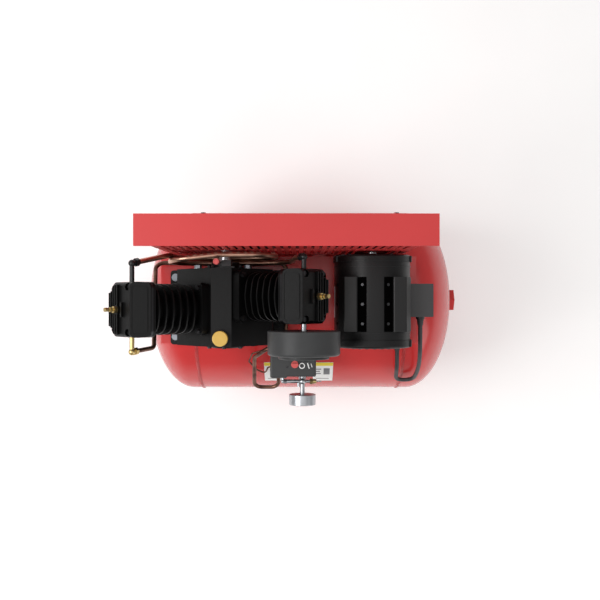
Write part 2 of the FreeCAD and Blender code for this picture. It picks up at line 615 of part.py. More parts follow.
def make_pump_body():
    front_cover = end_cover(CASE_Y[0], -1, -143.0, 0.0)
    carrier = end_cover(CASE_Y[1], 1, 112.0, NOSE_RADIUS + 1.0)
    bolts = ring_of_bolts(6, 53.0, CASE_Y[0] - 5.0, -Y_AXIS, 10.0)
    bolts += ring_of_bolts(6, 53.0, CASE_Y[1] + 5.0, Y_AXIS, 10.0)
    room = Part.Compound([bolt.copy() for bolt in bolts])
    case = make_crankcase().cut(room)
    oil_x = CRANK_X - 2
    cap = cylinder((oil_x, -109, RIDGE_Z + 5.0), Z_AXIS, 22.0, 14.0)
    cap = cap.makeFillet(3.0, [edge for edge in cap.Edges if edge.Closed and edge.CenterOfMass.z > RIDGE_Z + 18])
    plug = cylinder((oil_x, -109, RIDGE_Z - 12.0), Z_AXIS, 14.9, 17.0)
    breather_x = CRANK_X + 16.0
    wall_y = CASE_Y[1]
    breather = fused([
        box((breather_x - 20, breather_x + 20), (wall_y, wall_y + 5), (CRANK_Z + 84, CRANK_Z + 124)),
        box((breather_x - 14, breather_x + 12), (wall_y + 5, wall_y + 22), (CRANK_Z + 90, CRANK_Z + 150)),
        cylinder((breather_x - 24, wall_y + 15, CRANK_Z + 130), Z_AXIS, 5.0, 50.0),
        box((breather_x - 24, breather_x - 10), (wall_y + 11, wall_y + 19), (CRANK_Z + 130, CRANK_Z + 140)),
    ])
    cap_foot = Vector(breather_x - 24, wall_y + 15, CRANK_Z + 180)
    breather_cap = cylinder(cap_foot, Z_AXIS, 8.0, 30.0).cut(cylinder(cap_foot - Z_AXIS, Z_AXIS, 4.0, 26.0))
    rim = ring(cap_foot + Z_AXIS * 29.0, Z_AXIS, 6.0, 4.6, 2.0)
    breather_cap = breather_cap.cut(rim)
    return {
        "crankcase": case,
        "bearing_covers": Part.Compound([front_cover.cut(room), carrier.cut(room)]),
        "cover_bolts": Part.Compound(bolts),
        "oil_cap": cap.fuse(plug).removeSplitter(),
        "breather": breather,
        "breather_cap": breather_cap,
    }


def cylinder_point(side, level, y):
    direction = Vector(side * math.sin(math.radians(45)), 0, math.cos(math.radians(45)))
    return Vector(CRANK_X, 0, CRANK_Z) + direction * (SLOPE_DISTANCE + level) + Y_AXIS * y


def elbow_fitting(start, end_y, outlet, radius, nut):
    """Nipple along Y from start, a round elbow, and a nut towards the outlet direction."""
    reach = abs(end_y - start.y)
    along = Y_AXIS if end_y > start.y else -Y_AXIS
    corner = Vector(start.x, end_y, start.z)
    outlet = Vector(outlet).normalize()
    nipple = cylinder(start, along, radius, reach)
    joint = ball(corner, radius * 1.45, Y_AXIS, -outlet)
    neck = cylinder(corner, outlet, radius * 1.2, nut * 0.6)
    nut_body = hex_prism(corner + outlet * nut * 0.45, outlet, radius * 2.9, nut * 0.55)
    return fused([nipple, joint, neck, nut_body]), corner + outlet * nut


def make_intercooler():
    left_start = cylinder_point(-1, PORT_LEVEL, CYLINDER_Y[-1] + HEAD_LENGTH / 2)
    right_start = cylinder_point(1, PORT_LEVEL, CYLINDER_Y[1] + HEAD_LENGTH / 2)
    left, left_end = elbow_fitting(left_start, 100.0, (83.5, 28.0, -117.5), 6.75, 24.0)
    right, right_end = elbow_fitting(right_start, 118.0, (-0.35, 0, -1.0), 6.75, 24.0)
    ring_left = CRANK_X - 150.0
    ring_right = CRANK_X + 152.0
    ring_low = TANK_Z + 384.0
    ring_high = TANK_Z + 592.0
    right_run = right_end + Vector(-0.35, 0, -1.0).normalize() * 40.0
    route = [
        left_end,
        (ring_left, RING_Y, TANK_Z + 555.0),
        (ring_left, RING_Y, ring_low),
        (ring_right, RING_Y, ring_low),
        (ring_right, RING_Y, ring_high),
        (CRANK_X - 10.0, RING_Y, ring_high),
        (ring_left, RING_RETURN_Y, ring_high),
        (ring_left, RING_RETURN_Y, ring_low),
        (ring_right + 40.0, RING_RETURN_Y + 2.0, ring_low),
        right_run,
        right_end,
    ]
    tube, length, radii = swept_tube(route, INTERCOOLER_DIAMETER, 98.0, TUBE_WALL)
    print_tube("intercooler_tube", tube, length, radii, INTERCOOLER_DIAMETER, TUBE_WALL)
    return {"intercooler_tube": tube, "intercooler_elbows": Part.Compound([left, right])}


def check_valve_frame():
    """Foot of the check valve on the barrel, the outward normal and the downhill direction there."""
    angle = math.radians(CHECK_VALVE_ANGLE)
    normal = Vector(0, -math.cos(angle), math.sin(angle))
    downhill = Vector(0, -math.sin(angle), -math.cos(angle))
    foot = Vector(CHECK_VALVE_X, 0, TANK_Z) + normal * TANK_RADIUS
    return foot, normal, downhill


def make_discharge():
    start = cylinder_point(-1, PORT_LEVEL, CYLINDER_Y[-1] - HEAD_LENGTH / 2)
    first_corner = Vector(-412.0, -134.5, TANK_Z + 586.0)
    outlet = first_corner - Vector(start.x, -141.0, start.z)
    elbow, tube_start = elbow_fitting(start, -141.0, outlet, 6.5, 20.0)
    foot, normal, downhill = check_valve_frame()
    port = foot + normal * 30.0
    valve = fused([
        cylinder(foot - normal * 4.0, normal, 11.0, 10.0),
        hex_prism(foot + normal * 4.0, normal, 28.0, 14.0),
        cylinder(foot + normal * 18.0, normal, 12.0, 24.0),
        hex_prism(foot + normal * 42.0, normal, 20.0, 6.0),
        cylinder(port, downhill, 9.5, PORT_REACH),
        cylinder(port, -X_AXIS, 5.0, 20.0),
    ]).cut(tank_solid(0.0))
    bore = cylinder(port + downhill * 4.0, downhill, 5.0, PORT_REACH)
    valve = valve.cut(bore)
    tube_end = port + downhill * PORT_REACH
    low_right = port + downhill * 92.0
    low_left = low_right - X_AXIS * 80.0
    route = [
        tube_start,
        first_corner,
        (-445.0, 114.0, TANK_Z + 364.0),
        (-43.0, 116.0, TANK_Z + 362.0),
        (-43.0, -130.0, TANK_Z + 373.0),
        (-105.0, -152.0, TANK_Z + 372.0),
        (-143.0, -180.0, TANK_Z + 316.0),
        low_left,
        low_right,
        tube_end,
    ]
    tube, length, radii = swept_tube(route, DISCHARGE_DIAMETER, 25.0, TUBE_WALL, 0.6)
    print_tube("discharge_tube", tube, length, radii, DISCHARGE_DIAMETER, TUBE_WALL)
    bleed_start = port - X_AXIS * 20.0
    bleed = [
        bleed_start,
        bleed_start - X_AXIS * 12.0,
        (-113.0, -238.0, TANK_Z + 227.0),
        (-140.0, -226.0, TANK_Z + 233.0),
        (-163.0, -196.0, TANK_Z + 276.0),
        (-150.0, -168.0, TANK_Z + 318.0),
        (-118.0, -158.0, TANK_Z + 332.0),
        (-66.0, -150.0, TANK_Z + 330.0),
        (-62.0, SWITCH_Y[1] + 6.0, TANK_Z + 330.0),
    ]
    bleed_tube, length, radii = swept_tube(bleed, UNLOADER_DIAMETER, 12.0)
    print_tube("unloader_tube", bleed_tube, length, radii, UNLOADER_DIAMETER, None)
    return {
        "discharge_fittings": Part.Compound([elbow, valve]),
        "discharge_tube": tube,
        "unloader_tube": bleed_tube,
    }


def make_intake():
    start = cylinder_point(1, PORT_LEVEL, CYLINDER_Y[1] - HEAD_LENGTH / 2)
    back_y = -84.0
    front_y = -151.0
    centre = Vector(start.x, 0, start.z)
    pipe = ring(start, -Y_AXIS, 7.0, 5.0, start.y - back_y)
    can = cylinder(centre + Y_AXIS * back_y, -Y_AXIS, 99.0, back_y - front_y)
    edges = [edge for edge in can.Edges if edge.Closed]
    front_edge = [edge for edge in edges if edge.CenterOfMass.y < front_y + 1]
    back_edge = [edge for edge in edges if edge.CenterOfMass.y > back_y - 1]
    can = can.makeFillet(8.0, front_edge)
    can = can.makeFillet(2.0, [edge for edge in can.Edges if edge.Closed and edge.CenterOfMass.y > back_y - 1])
    inside = cylinder(centre + Y_AXIS * (back_y - 2.0), -Y_AXIS, 96.0, back_y - front_y - 12.0)
    mouth = cylinder(centre + Y_AXIS * (back_y - 20.0), -Y_AXIS, 60.0, 60.0)
    inlet = cylinder(centre + Y_AXIS * (back_y + 1.0), -Y_AXIS, 5.0, 4.0)
    can = can.cut(Part.Compound([inside, mouth, inlet]))
    cap = cylinder(centre + Y_AXIS * front_y, -Y_AXIS, 69.5, 9.0)
    cap = cap.makeFillet(3.0, [edge for edge in cap.Edges if edge.Closed and edge.CenterOfMass.y < front_y - 8])
    knob = cylinder(centre + Y_AXIS * (front_y - 9.0), -Y_AXIS, 7.0, 7.0)
    wing = box((centre.x - 16, centre.x + 16), (front_y - 17.0, front_y - 11.0), (centre.z - 2, centre.z + 2))
    element = ring(centre + Y_AXIS * (back_y - 3.0), -Y_AXIS, 84.0, 58.0, 51.0)
    return {
        "intake_pipe": pipe,
        "filter_canister": can,
        "filter_element": element,
        "filter_cap": fused([cap, knob, wing]),
    }


def groove_tool(axis_x, axis_z, radius, y):
    """Ring with a V section, a little larger than a belt, that cuts one belt groove."""
    half_top = BELT_TOP_WIDTH / 2 + BELT_GAP + 0.6
    half_base = BELT_BASE_WIDTH / 2 + BELT_GAP
    floor = radius - BELT_RECESS - BELT_DEPTH - 1.5
    outline = [
        (axis_x, y - half_base, axis_z + floor),
        (axis_x, y + half_base, axis_z + floor),
        (axis_x, y + half_top, axis_z + radius + 1.0),
        (axis_x, y - half_top, axis_z + radius + 1.0),
    ]
    corners = [Vector(*point) for point in outline]
    face = Part.Face(Part.makePolygon(corners + corners[:1]))
    return face.revolve(Vector(axis_x, y, axis_z), Y_AXIS, 360)


def drive_belt(y):
    """V belt round both pulleys, its back set a little under their rims."""
    wheel = (Vector(CRANK_X, y, CRANK_Z), FLYWHEEL_RADIUS - BELT_RECESS)
    pulley = (Vector(MOTOR_X, y, MOTOR_Z), MOTOR_PULLEY_RADIUS - BELT_RECESS)
    across = pulley[0] - wheel[0]
    heading = math.atan2(across.z, across.x)
    spread = math.acos((wheel[1] - pulley[1]) / across.Length)

    def rim(circle, angle):
        return circle[0] + Vector(math.cos(angle), 0, math.sin(angle)) * circle[1]

    top, bottom = heading + spread, heading - spread
    edges = [
        Part.LineSegment(rim(wheel, top), rim(pulley, top)).toShape(),
        Part.Arc(rim(pulley, top), rim(pulley, heading), rim(pulley, bottom)).toShape(),
        Part.LineSegment(rim(pulley, bottom), rim(wheel, bottom)).toShape(),
        Part.Arc(rim(wheel, bottom), rim(wheel, heading + math.pi), rim(wheel, top)).toShape(),
    ]
    outward = Vector(math.cos(top), 0, math.sin(top))
    start = rim(wheel, top)
    corners = [
        start - Y_AXIS * (BELT_TOP_WIDTH / 2),
        start + Y_AXIS * (BELT_TOP_WIDTH / 2),
        start + Y_AXIS * (BELT_BASE_WIDTH / 2) - outward * BELT_DEPTH,
        start - Y_AXIS * (BELT_BASE_WIDTH / 2) - outward * BELT_DEPTH,
    ]
    return Part.Wire(edges).makePipeShell([Part.makePolygon(corners + corners[:1])], True, False)


def make_drive():
    width = PULLEY_Y[1] - PULLEY_Y[0]
    rim_inner = FLYWHEEL_RADIUS - 24.0
    axis = Vector(CRANK_X, PULLEY_Y[0], CRANK_Z)
    rim = ring(axis, Y_AXIS, FLYWHEEL_RADIUS, rim_inner, width)
    hub = cylinder(axis, Y_AXIS, 38.0, width)
    spokes = []
    for step in range(5):
        spoke = rounded_block(26.0, 12.0, rim_inner - 30.0 + 4.0, 5.0, 30.0)
        spoke.rotate(Vector(0, 0, 0), Z_AXIS, 25.0)
        spoke.rotate(Vector(0, 0, 0), Y_AXIS, 72.0 * step)
        spoke.translate(axis + Y_AXIS * (width / 2))
        spokes.append(spoke)
    wheel = fused([rim, hub] + spokes)
    wheel = wheel.cut(cylinder(axis - Y_AXIS, Y_AXIS, NOSE_RADIUS + RUNNING_GAP, width + 2))
    grooves = [groove_tool(CRANK_X, CRANK_Z, FLYWHEEL_RADIUS, y) for y in GROOVE_Y]
    motor_axis = Vector(MOTOR_X, PULLEY_Y[0], MOTOR_Z)
    pulley = ring(motor_axis, Y_AXIS, MOTOR_PULLEY_RADIUS, SHAFT_RADIUS, width)
    web_cut = ring(motor_axis - Y_AXIS, Y_AXIS, MOTOR_PULLEY_RADIUS - 18.0, 24.0, 13.0)
    motor_grooves = [groove_tool(MOTOR_X, MOTOR_Z, MOTOR_PULLEY_RADIUS, y) for y in GROOVE_Y]
    return {
        "flywheel": wheel.cut(Part.Compound(grooves)),
        "motor_pulley": pulley.cut(Part.Compound(motor_grooves + [web_cut])),
        "drive_belts": Part.Compound([drive_belt(y) for y in GROOVE_Y]),
    }


def slotted_panel(y, shaft_holes):
    """Flat guard sheet with two rows of upright slots and round shaft openings."""
    sheet = box(GUARD_X, (y, y + GUARD_SHEET), GUARD_Z)
    margin = 24.0
    count = int((GUARD_X[1] - GUARD_X[0] - 2 * margin) / SLOT_PITCH)
    first = (GUARD_X[0] + GUARD_X[1] - count * SLOT_PITCH) / 2
    cuts = []
    for step in range(count + 1):
        x = first + step * SLOT_PITCH
        for low, high in SLOT_ROWS:
            blocked = [hole for hole in shaft_holes
                       if abs(x - hole[0]) < hole[2] + 14 and low < hole[1] + hole[2] and hole[1] - hole[2] < high]
            if blocked:
                continue
            slot = box((x - SLOT_WIDTH / 2, x + SLOT_WIDTH / 2), (y - 1, y + GUARD_SHEET + 1), (low, high))
            cuts.append(slot)
    for x, z, radius in shaft_holes:
        cuts.append(cylinder((x, y - 1, z), Y_AXIS, radius, GUARD_SHEET + 2))
    return sheet.cut(Part.Compound(cuts))


def make_guard():
    holes = [(CRANK_X, CRANK_Z, 48.0), (MOTOR_X, MOTOR_Z, 26.0)]
    inner_y = (GUARD_FRONT_Y + GUARD_SHEET, GUARD_REAR_Y)
    ends = [box((x, x + GUARD_SHEET), inner_y, GUARD_Z) for x in (GUARD_X[0], GUARD_X[1] - GUARD_SHEET)]
    top = box(GUARD_TOP_X, GUARD_TOP_Y, (GUARD_TOP_Z - GUARD_LIP, GUARD_TOP_Z))
    hollow = box(
        (GUARD_TOP_X[0] + GUARD_SHEET, GUARD_TOP_X[1] - GUARD_SHEET),
        (GUARD_TOP_Y[0] + GUARD_SHEET, GUARD_TOP_Y[1] - GUARD_SHEET),
        (GUARD_TOP_Z - GUARD_LIP - 1, GUARD_TOP_Z - 3.0),
    )
    screws = capacitor_screws()
    for x in guard_lug_places():
        start = (x, GUARD_FRONT_Y + GUARD_SHEET, PLATFORM_TOP - 26)
        screws.append(hex_bolt(start, Y_AXIS, 10.0, 5.0, 2.5, 0.4))
    for x in (-250.0, 250.0):
        screws.append(hex_bolt((x, GUARD_TOP_Y[1], GUARD_TOP_Z - 7.0), Y_AXIS, 8.0, 2.6, 2.0, 0.4))
    room = Part.Compound([screw.copy() for screw in screws])
    return {
        "guard_front": slotted_panel(GUARD_FRONT_Y, holes).cut(room),
        "guard_rear": slotted_panel(GUARD_REAR_Y, []),
        "guard_ends": Part.Compound(ends),
        "guard_top": top.cut(hollow).cut(room),
        "cover_screws": Part.Compound(screws),
    }


def motor_line(radius, y_range):
    return cylinder((MOTOR_X, y_range[0], MOTOR_Z), Y_AXIS, radius, y_range[1] - y_range[0])


def end_bell(outer_y, inner_y, bearing_y, shaft_hole):
    """Cast motor end: rim, dished wall, bearing hub and four through-bolt lugs."""
    low, high = sorted((outer_y, inner_y))
    body = motor_line(BELL_RADIUS, (low, high))
    rim = [edge for edge in body.Edges if edge.Closed and abs(edge.CenterOfMass.y - outer_y) < 0.01]
    body = body.makeFillet(7.0, rim)
    lugs = []
    for turn in (22.0, 158.0, 202.0, 338.0):
        angle = math.radians(turn)
        spot = Vector(MOTOR_X + 113.0 * math.cos(angle), low, MOTOR_Z + 113.0 * math.sin(angle))
        shift = 3.0 if outer_y < inner_y else 0.0
        lugs.append(cylinder(spot + Y_AXIS * shift, Y_AXIS, 8.0, high - low - 3.0))
    inward = 1 if inner_y > outer_y else -1
    hollow_y = sorted((outer_y + inward * 6.0, inner_y + inward))
    hollow = motor_line(MOTOR_RADIUS - 8.0, hollow_y)
    hub = motor_line(MOTOR_BEARING_RADIUS + 8.0, sorted((outer_y + inward, inner_y)))
    seat = motor_line(MOTOR_BEARING_RADIUS, bearing_y)
    bell = fused([body] + lugs).cut(hollow).fuse(hub).cut(seat)
    hole_y = (low - 1, high + 1) if shaft_hole else (bearing_y[0], high + 1)
    return bell.cut(motor_line(SHAFT_RADIUS + 1.0, hole_y)).removeSplitter()


def capacitor_cover(side):
    """Pressed cover on the motor's upper flank, nearly flat on top, with a curved flange on each side."""
    y_range = (-91.0, 66.0)
    length = y_range[1] - y_range[0]
    outline = [(46.0, 94.0), (52.0, 114.0), (89.0, 108.0), (105.0, 84.0), (100.0, 46.0)]
    hump = polygon_prism([(side * x, 0, z) for x, z in outline], (0, length, 0))
    long_edges = [edge for edge in hump.Edges
                  if edge.BoundBox.YLength > length - 1 and edge.CenterOfMass.z > 80]
    hump = hump.makeFillet(5.0, long_edges)
    inner = [(side * (75.0 + (x - 75.0) * 0.93), 2.0, 78.0 + (z - 78.0) * 0.93) for x, z in outline]
    hollow = polygon_prism(inner, (0, length - 4, 0))
    band = cylinder((0, 0, 0), Y_AXIS, MOTOR_RADIUS + FLANGE_SHEET, length)
    wedge = [(0, -1, 0)]
    for angle in (13.0, 42.0, 70.0):
        turn = math.radians(angle)
        wedge.append((side * 2 * MOTOR_RADIUS * math.sin(turn), -1, 2 * MOTOR_RADIUS * math.cos(turn)))
    flange = band.common(polygon_prism(wedge, (0, length + 2, 0)))
    cover = hump.fuse(flange).cut(hollow).cut(cylinder((0, -1, 0), Y_AXIS, MOTOR_RADIUS, length + 2))
    cover = cover.removeSplitter()
    cover.translate(Vector(MOTOR_X, y_range[0], MOTOR_Z))
    return cover


def capacitor_screws():
    screws = []
    for side in (-1, 1):
        for y in (-68.0, -12.0, 44.0):
            for angle in (18.5 * side, 67.0 * side):
                outward = Vector(math.sin(math.radians(angle)), 0, math.cos(math.radians(angle)))
                start = Vector(MOTOR_X, y, MOTOR_Z) + outward * (MOTOR_RADIUS + FLANGE_SHEET)
                screws.append(cylinder(start, outward, 4.2, 2.6))
    return screws


def make_motor():
    shell_y = MOTOR_SHELL_Y
    shell = motor_line(MOTOR_RADIUS, shell_y)
    for low in (-100.0, 96.0):
        shell = shell.fuse(motor_line(MOTOR_RADIUS + 1.2, (low, low + 5.0)))
    shell = shell.cut(motor_line(MOTOR_RADIUS - MOTOR_SHELL, shell_y)).removeSplitter()
    front_bearing = (MOTOR_Y[0] + 4.0, MOTOR_Y[0] + 19.0)
    rear_bearing = (MOTOR_Y[1] - 17.0, MOTOR_Y[1] - 2.0)
    bells = [
        end_bell(MOTOR_Y[0], shell_y[0], front_bearing, False),
        end_bell(MOTOR_Y[1], shell_y[1], rear_bearing, True),
    ]
    stator = motor_line(MOTOR_RADIUS - MOTOR_SHELL, STATOR_Y).cut(motor_line(ROTOR_RADIUS + AIR_GAP, STATOR_Y))
    coils = []
    for low, high in ((STATOR_Y[0] - 26.0, STATOR_Y[0]), (STATOR_Y[1], STATOR_Y[1] + 26.0)):
        coil = motor_line(96.0, (low, high)).cut(motor_line(68.0, (low, high)))
        coils.append(coil)
    core = motor_line(ROTOR_RADIUS, STATOR_Y)
    shaft = motor_line(SHAFT_RADIUS, (MOTOR_Y[0] + 5.0, PULLEY_Y[1] + 6.0))
    blades = []
    for step in range(8):
        blade = box((-2.0, 2.0), (STATOR_Y[1] - 2.0, STATOR_Y[1] + 16.0), (20.0, ROTOR_RADIUS - 4.0))
        blade.rotate(Vector(0, 0, 0), Y_AXIS, 45.0 * step)
        blade.translate(Vector(MOTOR_X, 0, MOTOR_Z))
        blades.append(blade)
    base_plate = box((MOTOR_X - 108, MOTOR_X + 108), (-95, 95), (PLATFORM_TOP, PLATFORM_TOP + 8))
    cradle = box((MOTOR_X - 72, MOTOR_X + 72), (-80, 80), (PLATFORM_TOP, PLATFORM_TOP + 44))
    slots = box((MOTOR_X - 73, MOTOR_X + 73), (-62, 62), (PLATFORM_TOP + 8, PLATFORM_TOP + 45))
    base = base_plate.fuse(cradle.cut(slots)).cut(motor_line(MOTOR_RADIUS, (-200, 200)))
    holes = [cylinder((x, y, PLATFORM_TOP - 1), Z_AXIS, 6.5, 20) for x, y in motor_bolts()]
    base = base.cut(Part.Compound(holes)).removeSplitter()
    top = PLATFORM_TOP + CASE_FLANGE_HEIGHT
    feet = [hex_bolt((x, y, top), Z_AXIS, 19.0, 10.0, 6.0, CASE_FLANGE_HEIGHT + 14) for x, y in case_bolts()]
    feet += [hex_bolt((x, y, PLATFORM_TOP + 8), Z_AXIS, 19.0, 10.0, 6.0, 22.0) for x, y in motor_bolts()]
    feet += [hex_bolt(place, Y_AXIS, 19.0, 8.0, 6.0, 8.0) for place in wall_bolt_places()]
    races = []
    for y_range in (front_bearing, rear_bearing):
        races.append(motor_line(MOTOR_BEARING_RADIUS, y_range).cut(motor_line(SHAFT_RADIUS + RUNNING_GAP, y_range)))
    for low in (CASE_Y[0], CASE_Y[1] - CASE_WALL - 8.0):
        y_range = (low, low + BEARING_WIDTH)
        races.append(crank_line(BEARING_RADIUS, y_range).cut(crank_line(JOURNAL_RADIUS, y_range)))
    wall_x = MOTOR_X + MOTOR_RADIUS
    box_x = (wall_x - 8.0, 393.0)
    box_z = (MOTOR_Z - 42.0, MOTOR_Z + 36.0)
    terminal = box(box_x, TERMINAL_Y, box_z)
    terminal = terminal.makeFillet(3.0, [edge for edge in terminal.Edges if edge.CenterOfMass.x > 390])
    hollow_y = (TERMINAL_Y[0] + 3, TERMINAL_Y[1] - 3)
    hollow = box((box_x[0] - 1, box_x[1] - 3), hollow_y, (box_z[0] + 3, box_z[1] - 3))
    gland_hole = cylinder((360.0, -60.0, MOTOR_Z - 10.0), Y_AXIS, CABLE_DIAMETER / 2, 20)
    terminal = terminal.cut(hollow).cut(motor_line(MOTOR_RADIUS, (-200, 200))).cut(gland_hole)
    return {
        "motor_shell": shell,
        "motor_bells": Part.Compound(bells),
        "motor_base": base,
        "mounting_bolts": Part.Compound(feet),
        "motor_stator": Part.Compound([stator] + coils),
        "motor_rotor": fused([core, shaft] + blades),
        "ball_bearings": Part.Compound(races),
        "capacitor_covers": Part.Compound([capacitor_cover(-1), capacitor_cover(1)]),
        "terminal_box": terminal,
    }


# Route of the motor cable from the terminal box, hanging in a loop, to the gland on the platform
CABLE_ROUTE = [
    (360.0, -76.0, TANK_Z + 440.0),
    (360.0, -138.0, TANK_Z + 440.0),
    (368.0, -184.0, TANK_Z + 372.0),
    (373.0, -214.0, TANK_Z + 308.0),
    (374.0, -241.0, TANK_Z + 243.0),
    (372.0, -256.2, TANK_Z + 201.5),
    (355.0, -263.0, TANK_Z + 186.0),
    (331.0, -263.0, TANK_Z + 186.0),
    (314.0, -256.2, TANK_Z + 201.5),
    (311.0, -237.0, TANK_Z + 243.0),
    (307.0, -207.0, TANK_Z + 300.0),
    (307.0, -160.0, TANK_Z + 300.0),
]


def cable_gland(mouth, back):
    """Tapered strain relief with a hexagon nut at its foot and a clear hole for the cable."""
    reach = Vector(mouth) - Vector(back)
    nut = hex_prism(back, reach, 23.0, 7.0)
    direction = Vector(reach).normalize()
    cone = Part.makeCone(10.5, 8.0, reach.Length - 7.0, Vector(back) + direction * 7.0, direction)
    return nut.fuse(cone).removeSplitter().cut(cylinder(back, direction, CABLE_DIAMETER / 2, reach.Length))


def make_cable():
    cable, length, radii = swept_tube(CABLE_ROUTE, CABLE_DIAMETER)
    print_tube("motor_cable", cable, length, radii, CABLE_DIAMETER, None)
    start = Vector(CABLE_ROUTE[0])
    end = Vector(CABLE_ROUTE[-1])
    glands = [
        cable_gland(start, Vector(start.x, TERMINAL_Y[0], start.z)),
        cable_gland(end, Vector(end.x, -PLATFORM_HALF_DEPTH, end.z)),
    ]
    return {"motor_cable": cable, "cable_glands": Part.Compound(glands)}


def make_switch():
    """Pressure switch: metal foot, stepped plastic cover, contact block and selector knob."""
    low, joint, top = SWITCH_Z
    foot = box((SWITCH_X[0] + 6, SWITCH_X[1] - 6), (SWITCH_Y[0] + 10, SWITCH_Y[1] - 4), (low, joint))
    full = box(SWITCH_X, (SWITCH_Y[0] + 4.0, SWITCH_Y[1]), (joint, top))
    bulge = box((SWITCH_X[0], SWITCH_STEP_X), (SWITCH_Y[0], -210.0), (joint, top))
    full = full.makeFillet(6.0, [edge for edge in full.Edges if edge.CenterOfMass.z > joint + 1])
    bulge = bulge.makeFillet(6.0, [edge for edge in bulge.Edges if edge.CenterOfMass.z > joint + 1])
    shell = full.fuse(bulge)
    wall = 2.5
    left_in = box((SWITCH_X[0] + wall, SWITCH_STEP_X - wall), (SWITCH_Y[0] + wall, SWITCH_Y[1] - wall),
                  (joint - 1, top - wall - 4))
    right_in = box((SWITCH_STEP_X - wall, SWITCH_X[1] - wall), (SWITCH_Y[0] + 4.0 + wall, SWITCH_Y[1] - wall),
                   (joint - 1, top - wall - 4))
    stem_hole = cylinder(KNOB - Z_AXIS * 12.0, Z_AXIS, 4.0 + RUNNING_GAP, 20.0)
    port = cylinder((-62.0, SWITCH_Y[1] + 1.0, TANK_Z + 330.0), -Y_AXIS, UNLOADER_DIAMETER / 2 + 0.2, 8.0)
    shell = shell.cut(Part.Compound([left_in, right_in, stem_hole, port]))
    contacts = box((-60.0, 30.0), (-222.0, -182.0), (joint, joint + 52.0))
    plunger = cylinder((-16.0, -196.0, joint + 52.0), Z_AXIS, 12.0, 10.0)
    grip = cylinder(KNOB, Z_AXIS, 11.0, 4.0)
    handle = rounded_block(22.0, 7.0, 12.0, 3.0)
    handle.translate(KNOB + Z_AXIS * 3.0)
    stem = cylinder(KNOB - Z_AXIS * 10.0, Z_AXIS, 4.0, 10.0)
    return {
        "switch_base": fused([foot, contacts, plunger]),
        "switch_cover": shell,
        "switch_knob": fused([grip, handle, stem]),
    }


def make_manifold():
    """Cross on a riser from the tank, feeding the switch, the gauge and the safety valve."""
    centre = MANIFOLD
    riser = cylinder((centre.x, centre.y, TANK_Z + 150.0), Z_AXIS, 7.0, 150.0).cut(tank_solid(0.0))
    seat_angle = math.asin(-centre.y / TANK_RADIUS)
    seat_z = TANK_Z + TANK_RADIUS * math.cos(seat_angle)
    collar = cylinder((centre.x, centre.y, seat_z - 8.0), Z_AXIS, 12.0, 26.0).cut(tank_solid(0.0))
    cross = ball(centre, 11.5, Y_AXIS, Z_AXIS)
    rear = cylinder(centre, Y_AXIS, 6.0, SWITCH_Y[0] + 10.0 - centre.y)
    arm_end = -54.0
    arm = cylinder(centre, -X_AXIS, 6.0, centre.x - arm_end)
    nut = hex_prism((arm_end + 12.0, centre.y, centre.z), -X_AXIS, 14.0, 10.0)
    corner = ball((arm_end, centre.y, centre.z), 6.5, Y_AXIS, -X_AXIS)
    link = cylinder((arm_end, centre.y, centre.z), Y_AXIS, 5.0, SWITCH_Y[0] + 10.0 - centre.y)
    right = cylinder(centre, X_AXIS, 5.0, 24.0)
    front = cylinder(centre, -Y_AXIS, 7.5, centre.y - GAUGE_BACK_Y)
    petcock = cylinder((-5.0, centre.y, centre.z), -Y_AXIS, 4.0, 18.0)
    manifold = fused([riser, collar, cross, rear, arm, nut, corner, link, right, front, petcock])
    valve_start = Vector(centre.x + 24.0, centre.y, centre.z)
    valve = fused([
        hex_prism(valve_start, X_AXIS, 17.0, 9.0),
        cylinder(valve_start, X_AXIS, 7.0, 20.0),
    ]).cut(cylinder(valve_start + X_AXIS * 4, X_AXIS, 2.0 + RUNNING_GAP, 30))
    stem = cylinder(valve_start + X_AXIS * 10.0, X_AXIS, 2.0, 14.5)
    pull = Part.makeTorus(6.0, 1.2, valve_start + X_AXIS * 29.5, Y_AXIS)
    return {"manifold": manifold, "safety_valve": valve, "safety_valve_ring": stem.fuse(pull).removeSplitter()}


def make_gauge():
    centre = Vector(MANIFOLD.x, 0, MANIFOLD.z)
    back = centre + Y_AXIS * GAUGE_BACK_Y
    depth = GAUGE_BACK_Y - GAUGE_FRONT_Y
    case = cylinder(back, -Y_AXIS, GAUGE_RADIUS, depth)
    rims = [edge for edge in case.Edges if edge.Closed]
    case = case.makeFillet(2.0, rims)
    case = case.cut(cylinder(back - Y_AXIS * 10.0, -Y_AXIS, GAUGE_RADIUS - 4.0, depth))
    dial = ring(back - Y_AXIS * 12.0, -Y_AXIS, GAUGE_RADIUS - 4.0, 1.6, 1.5)
    lens = cylinder(back - Y_AXIS * (depth - 5.0), -Y_AXIS, GAUGE_RADIUS - 4.0, 2.5)
    hub = cylinder(back - Y_AXIS * 15.0, -Y_AXIS, 4.5, 4.0)
    pivot = cylinder(back - Y_AXIS * 12.2, -Y_AXIS, 1.5, 4.0)
    outline = [(-1.6, 0, -9.0), (1.6, 0, -9.0), (1.0, 0, 24.0), (0.0, 0, 31.0), (-1.0, 0, 24.0)]
    pointer = polygon_prism(outline, (0, -1.2, 0))
    pointer.rotate(Vector(0, 0, 0), Y_AXIS, -135.0)
    pointer.translate(back - Y_AXIS * 16.0)
    return {
        "gauge_case": case,
        "gauge_dial": dial,
        "gauge_lens": lens,
        "gauge_needle": fused([hub, pivot, pointer]),
    }


